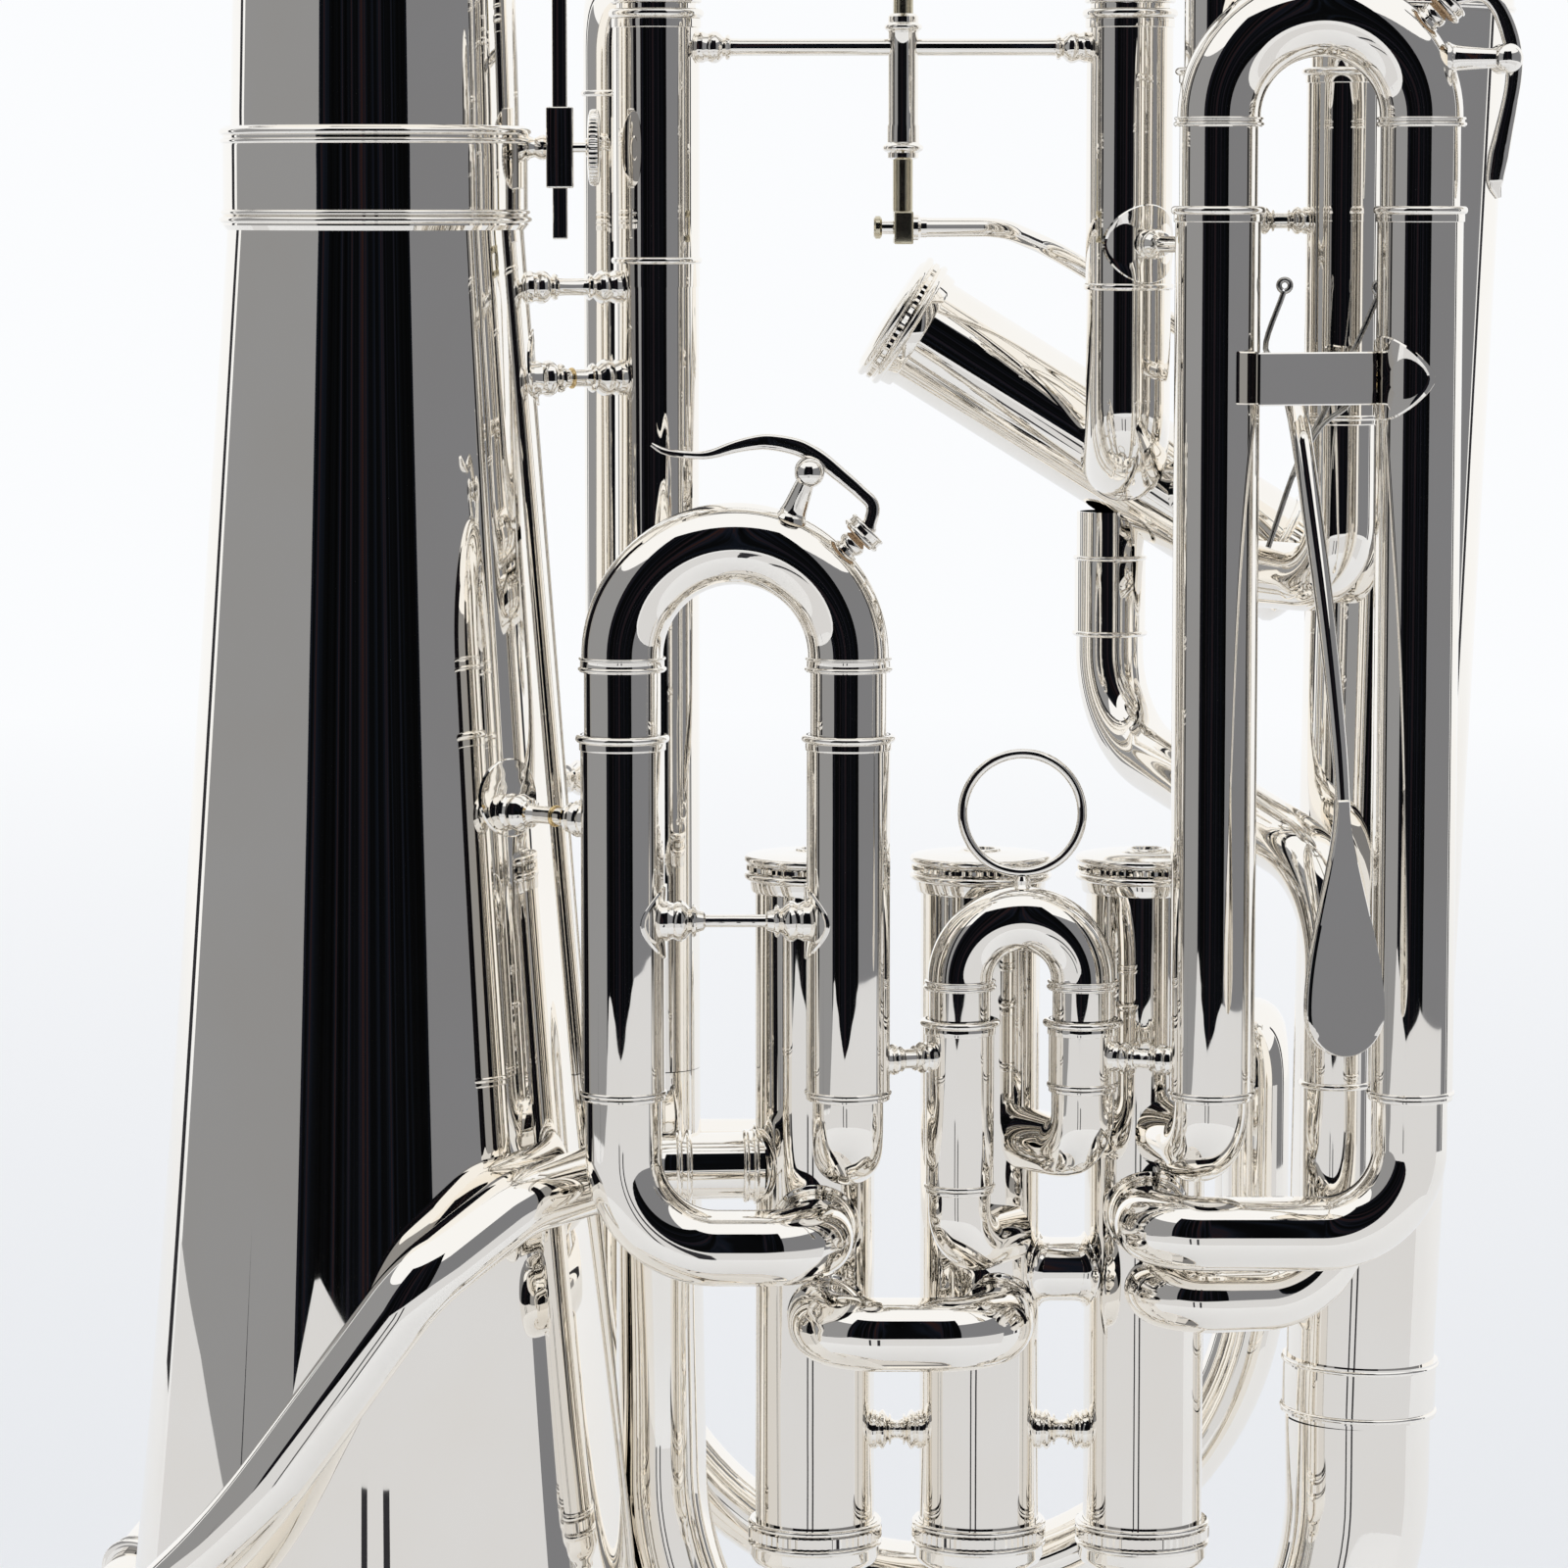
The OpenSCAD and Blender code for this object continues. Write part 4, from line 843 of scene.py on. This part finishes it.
def make_tube_braces():
    """Braces from each slide leg to the next, and one between each pair of upright casings"""
    first, second = (S1_X, SLIDE_Y, S1_R), (S2_X, S2_Y, S2_R)
    third, fourth = (S3_X, SLIDE_Y, S3_R), (S4_X, S4_Y, S4_R)
    main, casing = (MAIN_X, MAIN_Y, MAIN_R), (CASING_X, CASING_Y, CASING_R)
    no_feet = (0, 0)
    shells = []
    for (xs, y, r), i, (to_xs, to_y, to_r), j, z, rod_r, feet, size in (
            (first, 0, first, 1, 329, 1.3, (7.6, 7.6), 1.25),
            (first, 1, second, 0, 300, 2.0, no_feet, 0.95),
            (second, 1, third, 0, 300, 2.0, no_feet, 0.95),
            (third, 0, fourth, 0, 463, 2.0, no_feet, 0.95),
            (fourth, 0, main, 1, 465, 1.7, (0, 8.2), 0.95),
            (fourth, 0, fourth, 1, 470, 1.6, no_feet, 0.85),
            (casing, 0, casing, 1, 216.8, 1.9, no_feet, 1.25),
            (casing, 1, casing, 2, 216.8, 1.9, no_feet, 1.25)):
        p, q = vec([xs[i], y, z]), vec([to_xs[j], to_y, z])
        d = unit(q - p)
        shells.append(turned_post(p, q, r, to_r, rod_r, size))
        for at, way, tube_r, foot in ((p, d, r, feet[0]), (q, -d, to_r, feet[1])):
            if foot:
                shells.append(plate_foot(at, way, UP, tube_r, foot))
    piece("tube_braces", shells, CAST_SILVER)


def bell_brace(p, q, r2, foot, rod_r=1.8, size=1.15):
    """Brace from the bell's skin near p to the tube on whose axis q lies"""
    p, q = vec(p), vec(q)
    d = unit(q - p)
    skin = bell_r(p[2])
    axis_at = vec([0, 0, p[2]])
    start = reach(p, d, axis_at, np.array(UP), skin)
    shells = [turned_post(p, q, start - 0.3, r2, rod_r, size)]
    if foot:
        out = unit([p[0] + start * d[0], p[1] + start * d[1], 0])
        normal = unit(out + BELL_TAPER * np.array(UP))
        lean = unit(np.array(UP) - BELL_TAPER * out)
        shells.append(plate_foot(axis_at - out * 0.05, normal, lean, skin, foot, 0.4))
    return shells


def make_bell_braces():
    """Four braces from the bell to the tubes beside it; two have a ring of solder on the rod"""
    middle = (26, -3, 437), (MAIN_X[0], MAIN_Y, 437)
    low = (23, -22, 349), (S1_X[0], SLIDE_Y, 349)
    shells = bell_brace((27, 2, 456), (MAIN_X[0], MAIN_Y, 456), INNER_R, 0, 1.8, 1.05)
    shells += bell_brace(*middle, INNER_R, 8)
    shells += bell_brace(*low, S1_R, 8)
    shells += bell_brace((18, 25, 349), (LOOP_X[0], LOOP_Y, 349), LOOP_R, 7)
    piece("bell_braces", shells, CAST_SILVER)
    shells = []
    for (p, q), d in ((middle, 16.0), (low, 20.5)):
        way = unit(vec(q) - vec(p))
        shells.append(bead(vec(p) + d * way, way, 1.9, 0.35, 0.8, 32))
    piece("bell_braces", shells, BRASS, name="brace_solder_rings", stands_for=False)


def at_pivot(x, dy=0, dz=0):
    """Point on the trigger's hinge line at x, moved by dy and dz"""
    return [x, PIVOT[1] + dy, PIVOT[2] + dz]


def make_crossbar():
    """Bar between the main slide's legs with the barrel that guides the push rod"""
    ends = [vec([x, MAIN_Y, 506.0]) for x in MAIN_X]
    barrel = [
        (2.2, 482.6), (2.6, 482.6), (3.3, 483.0), (3.3, 484.0), *arc(3.6, 485.0, 0.75, -80, 80, 6),
        (3.4, 486.2), (3.4, 489.5), (3.2, 490.0), (3.2, 509.0), *arc(3.3, 510.2, 0.7, -80, 80, 6),
        (3.2, 511.2), (3.2, 512.4), (2.6, 513.0), (2.2, 513.0)]
    bar = turned_post(*ends, MAIN_R, MAIN_R, 1.8)
    piece("crossbar", [bar, lathe(barrel, (BALL[0], MAIN_Y, 0), UP, 48)], SILVER)


def make_push_rod():
    """Rod from the slide bow down through the barrel, and the fork that holds the lever's ball"""
    x, _, z = BALL
    top = MAIN_AT[2] + MAIN_BEND - 8.0
    rod_profile = [(0, 468), (1.7, 468), (2.1, 472.4), (2.1, top - 8), (2.3, top - 6.5), (3.2, top - 5.4),
                   (4.4, top - 4.6), (4.4, top + 0.6), (0, top + 0.6)]
    shells = [lathe(rod_profile, (x, MAIN_Y, 0), UP, 32)]
    for jaw_z in (z + 2.7, z - 2.7):
        shells.append(block((x - 2, 0.2, jaw_z - 0.72), (x + 2, 15.5, jaw_z + 0.72), 0.35))
    shells.append(block((x - 2, 0.0, z - 3.4), (x + 2, 1.9, z + 3.4), 0.5))
    piece("push_rod", shells, DULL_BRASS)


def paddle():
    """Thumb paddle: a flat teardrop with rounded edges, turned a little to the outside"""
    turn = Matrix.Rotation(radians(21), 3, "Z") @ Matrix.Rotation(radians(-3), 3, "X")
    at = vec([195, -80.5, 330.0])
    low, high, wide = -23.6, 27.0, 8.6
    middle = low + wide
    outline = [(wide * cos(t), middle - wide * sin(t)) for t in np.linspace(0, pi, 25)]
    shoulder = [(wide * (0.14 + 0.86 * (1 - ease(u)) ** 0.9), middle + (high - middle) * u)
                for u in np.linspace(0.04, 1, 24)]
    outline += [(-w, z) for w, z in shoulder] + [(w, z) for w, z in reversed(shoulder)]
    rings = []
    for inset, y in ((2.0, 1.2), (0.6, 1.2), (0.2, 1.0), (0.0, 0.5), (0.0, -0.5), (0.2, -1.05), (0.6, -1.25),
                     (2.0, -1.25)):
        keep_w, keep_z = 1 - inset / wide, 1 - inset / 40
        rings.append([at + vec(turn @ Vector((w * keep_w, y, middle + (z - middle) * keep_z)))
                      for w, z in outline])
    verts, faces = shell(rings)
    n = len(outline)
    return verts, faces + [tuple(range(n)), tuple(range(len(verts) - n, len(verts)))]


def make_trigger_lever():
    """Lever from the ball in the fork, round to its hinge and down to the thumb paddle"""
    x, y, z = BALL
    arm = bent([[x + 2.6, y, z], [131, 16, z], [143, 31.5, 463.5], [186, 31.5, 437], at_pivot(186, 1)],
               [0, 12, 16, 10, 0])
    handle = smooth_line([at_pivot(187.3, -1, -1), [188.6, -50.5, 427], [190.6, -58.5, 409],
                          [192.8, -67, 388], [194.4, -74, 368], [195, -78.5, 355]], 10)
    nut = [(0, 1.4), (2.3, 1.4), (2.7, 1.9), (2.7, 3.2), (2.1, 3.8), (2.1, 5.0), (0, 5.0)]
    piece("trigger_lever", [
        sweep(arm, 2.0, n=32),
        rod([x - 5, y, z], [x + 3, y, z], 1.45),
        lathe(nut, BALL, (1, 0, 0), 32),
        rod(at_pivot(182.6), at_pivot(191.9), 3.9, n=48),
        sweep(handle, along(handle, [2.3, 2.1, 1.7, 1.45]), n=32, dome=True),
        paddle(),
    ], SILVER)
    tip = [(0, -0.9), (1.9, -0.9), (2.4, -0.5), (2.4, 0.4), (1.9, 0.8), (0, 0.8)]
    piece("trigger_lever", [lathe(tip, [x - 5.2, y, z], (1, 0, 0), 40), ball(BALL, 1.85)], DULL_BRASS,
          name="trigger_ball", stands_for=False)
    piece("trigger_hinge_rod", [rod(at_pivot(180.6), at_pivot(202.4), 2.0, n=32)], BRASS)


def strap():
    """Strap in front of the third slide's legs, bent back at both ends"""
    front = [(178.9, -40), (178.9, -58.8), (179.1, -59.7), (179.5, -59.85), (180.2, -59.66), (201.3, -53.99),
             (202.0, -53.8), (203.3, -52.6), (203.4, -50.9), (203.4, -48.4)]
    rear = [(201.9, -48.4), (201.9, -50.6), (201.5, -51.9), (200.6, -52.7), (200.0, -52.86), (180.9, -57.99),
            (180.7, -57.95), (180.5, -57.7), (180.5, -57.0), (180.5, -40)]
    low, high, edge = 433.5, 444.1, 0.3
    strip = vec(front + rear)
    across = vec([unit(b - a) for a, b in zip(strip, strip[::-1])])
    rings = [[[*p, z] for p in strip + inset * across]
             for z, inset in ((low, edge), (low + edge, 0), (high - edge, 0), (high, edge))]
    verts, faces = shell(rings)
    n = len(strip)
    for base in (0, 3 * n):
        faces += [(base + i, base + i + 1, base + n - 2 - i, base + n - 1 - i) for i in range(n // 2 - 1)]
    return verts, faces


def make_trigger_bracket():
    """Strap with a lug behind each end, and a saddle plate on the slide's right leg"""
    facing = unit([-0.86, -0.51, 0])
    piece("trigger_bracket", [
        strap(),
        plate_foot((S3_X[1], SLIDE_Y, 438.8), facing, UP, S3_R, 8.3, 0.6),
        block((200.6, -42.8, 433.5), (202.4, -38.6, 443.0), 0.4),
        block((180.6, -44.6, 433.5), (182.2, -38.6, 443.0), 0.4),
    ], SILVER)


def make_trigger_springs():
    """Two springs of three turns round the hinge, each with an arm down and an arm up to an eye"""
    wire, turns, per_turn = 0.58, 3, 40
    coil_r, coil_w, eye_r = 3.1, 3.2, 1.15

    def bend_wire(points, per=6):
        return sweep(smooth_line(points, per), wire, n=12)

    shells = []
    for x, bend_at, top_end, low_end in (
            (193.0, (181.6, -46.5, 444.5), (185.2, -46.5, 456.0), (182.6, -45, 404.5)),
            (197.0, (199.6, -45.5, 444.5), (204.4, -45.5, 455.5), (187.4, -46, 419.0))):
        bend_at, top_end, low_end = vec([bend_at, top_end, low_end])
        winding = []
        for i in range(turns * per_turn + 1):
            a = 2 * pi * i / per_turn
            along_x = x + coil_w * i / (turns * per_turn)
            winding.append(at_pivot(along_x, coil_r * cos(a), coil_r * sin(a)))
        eye = [top_end + eye_r * vec([sin(a) + 0.1, 0, 1 - cos(a)])
               for a in np.linspace(0, 1.85 * pi, 22)]
        start, end = np.array(winding[0]), np.array(winding[-1])
        shells += [
            bend_wire(winding, 1),
            bend_wire([start, (start + bend_at) / 2 + [0, 0, 0.8], bend_at, top_end]),
            bend_wire(eye, 1),
            bend_wire([end, end + [-1.5, -2.0, -5], (end + low_end) / 2 + [-0.8, 0, 0], low_end]),
        ]
    piece("trigger_springs", shells, STEEL)


def make_pull_ring():
    at = vec([S2_AT[0], S2_Y, 349.8])
    boss = [(0, -18.2), (3.0, -18.2), (2.9, -16.8), (2.2, -15.6), (1.6, -14.6), (1.7, -13.8), (1.2, -12.9),
            (0, -12.6)]
    piece("pull_ring", [torus(at, (0, 1, 0), 12.2, 1.0, 128, 24, 0.85), lathe(boss, at, UP, 40)], SILVER)


def make_key(n, at, bow_r, nipple_deg, post_deg, pin, lever, wide, thick):
    """Water key on the outside of a bow: seat, lever with cup, cork pad and spring.
    bow_r is the radius of the bow's outside, and lever holds (x, z) from the lever's tip to the cup."""
    side = vec([0, 1.0, 0])

    def outwards(deg):
        return vec([cos(radians(deg)), 0, sin(radians(deg))])

    out = outwards(nipple_deg)
    nipple = [(1.2, -1.2), (3.0, -0.9), (2.7, 0.1), (2.2, 0.3), *arc(1.4, 1.6, 1.4, -55, 62), (1.9, 3.0),
              (1.75, 3.2), (1.2, 3.2)]
    shells = [lathe(nipple, at + bow_r * out, out, 48)]
    base = at + bow_r * outwards(post_deg)
    lift = unit(pin - base)
    for s in (-side, side):
        root, top = base + 2.6 * s - 1.2 * lift, pin + 4.6 * s
        line = smooth_line([root, root + 2.2 * lift + 0.2 * s, top - 2.6 * lift, top], 6)
        shells.append(sweep(line, along(line, [3.3, 2.5, 1.8, 1.9]), n=28, dome=True))
        shells.append(ball(pin + 4.9 * s, 3.0, side))
    shells.append(rod(pin - 5 * side, pin + 5 * side, 1.0, n=24))
    piece(f"water_key_{n}_seat", shells, CAST_SILVER)

    cup_at = at + (bow_r + 3.6) * out
    cup = [(0, 1.95), (3.65, 1.95), (3.65, 0), (4.1, 0), *arc(4.1, 0.5, 0.35, -60, 60, 5), (4.0, 1.1),
           (4.0, 2.0), *arc(3.8, 2.3, 0.45, -30, 90, 5), (1.6, 3.0), (1.3, 3.6), (0, 3.7)]
    hinge = [(1.05, -1.85), (2.3, -1.85), (2.4, -1.6), (2.4, 1.6), (2.3, 1.85), (1.05, 1.85)]
    bar = [(x, pin[1], z) for x, z in lever] + [tuple(cup_at + 2.6 * out)]
    piece(f"water_key_{n}", [
        lathe(cup, cup_at, out, 64),
        blade(bar, wide, thick, side),
        lathe(hinge, pin, side, 40),
    ], CAST_SILVER)
    pad = [(0, -0.35), (3.1, -0.35), (3.5, -0.05), (3.55, 1.9), (0, 1.9)]
    piece(f"water_key_{n}_pad", [lathe(pad, cup_at, out, 48)], CORK)
    piece(f"water_key_{n}_spring", [coil(pin + 2.0 * side, side, 1.6, 1.2, 2, 0.2, per=32)], STEEL)


def make_keys():
    make_key(1, BOW1_AT, BEND_1 + 8.25, 44, 68, KEY1_PIVOT,
             [(58.4, 425.4), (60.5, 424.2), (63.2, 423.6), (67.7, 423.2), (70.7, 423.5), (74.5, 424.7),
              (78.3, 425.6), (82.0, 425.9), (87.5, 424.9), (92.0, 422.7), (96.5, 419.1), (100.1, 416.0),
              (102.8, 413.0)],
             [2.2, 4.2, 5.0, 4.2, 3.4, 3.0, 3.0, 3.2, 3.2, 3.2, 3.2, 3.2, 3.4, 3.4],
             [0.8, 1.2, 1.5, 1.6, 1.9, 2.4, 2.9, 3.3, 3.5, 3.3, 3.0, 2.8, 2.8, 2.8])
    make_key(3, BOW3_AT, BEND_3 + 8.3, 42, 24, KEY3_PIVOT,
             [(227.7, 474.6), (226.9, 477.6), (227.4, 481.8), (228.4, 486.9), (229.5, 492.3), (230.4, 498.0),
              (230.4, 503.0), (229.0, 508.5), (226.6, 513.0), (223.4, 514.9)],
             [2.2, 4.4, 5.0, 4.4, 3.6, 3.2, 3.0, 3.2, 3.4, 3.4],
             [1.2, 3.4, 4.0, 3.4, 3.0, 3.2, 3.4, 3.2, 2.8, 2.8])


def make_clip():
    """Square socket on the bell's tail, with an upright bar held by a thumb screw"""
    lo, hi, bar_lo, bar_hi = 35.6, 41.2, 36.75, 40.05
    half_w, half_h, wall_y = 3.2, 8.4, 1.65

    def wall(x0, x1, y0, y1):
        return block((x0, y0, CLIP_Z - half_h), (x1, y1, CLIP_Z + half_h), 0.35)

    stem = [(0, 28.5), (3.4, 30.6), (3.2, 31.4), (2.3, 32.2), (2.0, 33.2), (2.6, 34.2), (2.7, 35.0),
            (2.2, 35.9), (0, 36)]
    piece("clip_socket", [
        lathe(stem, (0, 0, CLIP_Z), (1, 0, 0), 40),
        wall(lo, bar_lo, -half_w, half_w),
        wall(bar_hi, hi, -half_w, half_w),
        wall(lo + 0.3, hi - 0.3, -half_w, -wall_y),
        wall(lo + 0.3, hi - 0.3, wall_y, half_w),
    ], SILVER)
    half_bar, gap = wall_y - 0.1, 0.1
    bar = block((bar_lo + gap, -half_bar, 466), (bar_hi - gap, half_bar, 544), 0.3)
    piece("clip_bar", [bar], SILVER)
    head = [(0, 2.6), (1.9, 2.6), (2.2, 3.1), (6.6, 3.1), (7.7, 3.4), (8.0, 3.9), (8.0, 4.7), (7.7, 5.2),
            (6.4, 5.5), (2.6, 5.5), (2.2, 5.9), (0, 5.9)]
    piece("clip_screw", [
        lathe(head, (hi, 0, CLIP_Z), (1, 0, 0), 240, knurl=(48, 0.35, 3.5, 5.1)),
        rod([hi - 1.1, 0, CLIP_Z], [hi + 2.8, 0, CLIP_Z], 1.1, n=24),
    ], SILVER)


for make in (make_bell, make_bottom_bow, make_top_bow, make_ferrules, make_leadpipe, make_valves, make_slides,
             make_main_slide, make_valve_tubes, make_compensating_loop, make_tube_braces, make_bell_braces,
             make_crossbar, make_push_rod, make_trigger_lever, make_trigger_bracket, make_trigger_springs,
             make_pull_ring, make_keys, make_clip):
    make()


# ---- studio ----

CENTRE_X = 0.086
CAMERA_AT = Vector((0.085, -1.18, 0.475))
CAMERA_AIM = Vector((0.085, -0.03, 0.355))
BACKDROP = (0.965, 0.975, 0.99)


def glow(name, colour):
    """Even light from a card"""
    mat, nodes, links = new_material(name)
    nodes.clear()
    out = nodes.new("ShaderNodeOutputMaterial")
    light = nodes.new("ShaderNodeEmission")
    light.inputs["Color"].default_value = (*colour, 1)
    light.inputs["Strength"].default_value = 1.0
    links.new(light.outputs["Emission"], out.inputs["Surface"])
    return mat


def room_glow():
    """Dark room with faint upright streaks in it"""
    mat = glow("room_in_shadow", (0.004, 0.004, 0.006))
    nodes, links = mat.node_tree.nodes, mat.node_tree.links
    light = nodes["Emission"]
    light.inputs["Strength"].default_value = 0.7
    noise = noise_maker(nodes, links, (9, 9, 0.15))
    stops = [(0.3, (0.002, 0.002, 0.002)), (0.5, (0.004, 0.0045, 0.0055)), (0.58, (0.009, 0.012, 0.02)),
             (0.66, (0.03, 0.014, 0.013)), (0.8, (0.05, 0.03, 0.026))]
    colour_ramp(nodes, links, noise(1.4, 5), stops, light.inputs["Color"])
    return mat


def floor_material():
    """Matt floor that fades into the backdrop far from the object"""
    mat, nodes, links = new_material("pale_floor")
    bsdf = nodes["Principled BSDF"]
    bsdf.inputs["Base Color"].default_value = (0.845, 0.855, 0.875, 1)
    bsdf.inputs["Roughness"].default_value = 0.7
    place = nodes.new("ShaderNodeNewGeometry")
    away = nodes.new("ShaderNodeVectorMath")
    away.operation = "LENGTH"
    fade = nodes.new("ShaderNodeMapRange")
    fade.inputs["From Min"].default_value = 0.9
    fade.inputs["From Max"].default_value = 4.0
    backdrop = nodes.new("ShaderNodeEmission")
    backdrop.inputs["Color"].default_value = (*BACKDROP, 1)
    mix = nodes.new("ShaderNodeMixShader")
    links.new(place.outputs["Position"], away.inputs[0])
    links.new(away.outputs["Value"], fade.inputs["Value"])
    links.new(fade.outputs["Result"], mix.inputs["Fac"])
    links.new(bsdf.outputs["BSDF"], mix.inputs[1])
    links.new(backdrop.outputs["Emission"], mix.inputs[2])
    links.new(mix.outputs["Shader"], nodes["Material Output"].inputs["Surface"])
    return mat


def stage_mesh(name, verts, faces, mat, seen=False):
    mesh = bpy.data.meshes.new(name)
    mesh.from_pydata(verts, [], faces)
    mesh.materials.append(mat)
    obj = bpy.data.objects.new(name, mesh)
    bpy.context.scene.collection.objects.link(obj)
    if not seen:
        obj.visible_camera = False
        obj.visible_diffuse = False
        obj.visible_shadow = False


def card(name, from_deg, to_deg, radius, top, mat, steps=24):
    """Curved card round the object; 0 degrees is the camera's side and positive is to its right.
    top is its height, or a function that gives the height by the angle."""
    verts = []
    for i in range(steps + 1):
        angle = from_deg + (to_deg - from_deg) * i / steps
        x, y = CENTRE_X + radius * sin(radians(angle)), -radius * cos(radians(angle))
        verts += [(x, y, 0.0), (x, y, top(angle) if callable(top) else top)]
    faces = [(2 * i, 2 * i + 2, 2 * i + 3, 2 * i + 1) for i in range(steps)]
    stage_mesh(name, verts, faces, mat)


# height of the near white card, by angle
TABLE_EDGE = [(-118, 0.197), (-95, 0.185), (-72, 0.162), (-55, 0.185), (-47, 0.2), (-36, 0.238), (-8, 0.214),
              (27, 0.238), (80, 0.236)]


def make_stage():
    """Floor, and the walls and cards that the silver mirrors"""
    half = 30.0
    stage_mesh("floor", [(-half, -half, 0), (half, -half, 0), (half, half, 0), (-half, half, 0)],
               [(0, 1, 2, 3)], floor_material(), seen=True)
    edge = glow("far_edge", (0.03, 0.03, 0.035))
    wall_r, wall_h, room_h, edge_h = 1.65, 1.5, 2.4, 2.2
    card("room", -43, 27, wall_r, room_h, room_glow())
    card("left_wall", -122, -43, wall_r, wall_h, glow("grey_wall", (0.284, 0.288, 0.299)))
    card("right_wall", 27, 100, wall_r, wall_h, glow("grey_wall_right", (0.205, 0.21, 0.226)))
    card("dark_edge_right", 102, 107, wall_r, edge_h, edge)
    card("dark_edge_left", -131, -126, wall_r, edge_h, edge)
    angles, heights = zip(*TABLE_EDGE)
    card("table_edge", angles[0], angles[-1], 0.62, lambda angle: float(np.interp(angle, angles, heights)),
         glow("white_card", (0.70, 0.707, 0.727)), 78)
    half_w, leg_y, leg_h = 0.015, -0.6, 0.19
    for x in (-0.057, 0.047):
        corners = [(x - half_w, 0), (x + half_w, 0), (x + half_w, leg_h), (x - half_w, leg_h)]
        stage_mesh("stand_leg", [(cx, leg_y, cz) for cx, cz in corners], [(0, 1, 2, 3)], edge)
    strut = [(-0.538, -0.256, 0), (-0.548, -0.234, 0), (-0.543, -0.245, 0.235)]
    stage_mesh("stand_strut", strut, [(0, 1, 2)], edge)


def make_world():
    world = bpy.data.worlds.new("studio")
    bpy.context.scene.world = world
    world.use_nodes = True
    back = world.node_tree.nodes["Background"]
    back.inputs["Color"].default_value = (*BACKDROP, 1)
    back.inputs["Strength"].default_value = 1.0


def make_camera():
    scene = bpy.context.scene
    cam_data = bpy.data.cameras.new("camera")
    cam_data.lens = 129.4
    cam_data.sensor_width = 36
    cam = bpy.data.objects.new("camera", cam_data)
    scene.collection.objects.link(cam)
    cam.location = CAMERA_AT
    cam.rotation_euler = (CAMERA_AIM - CAMERA_AT).to_track_quat("-Z", "Y").to_euler()
    scene.camera = cam
    scene.view_settings.view_transform = "Standard"


make_world()
make_stage()
make_camera()
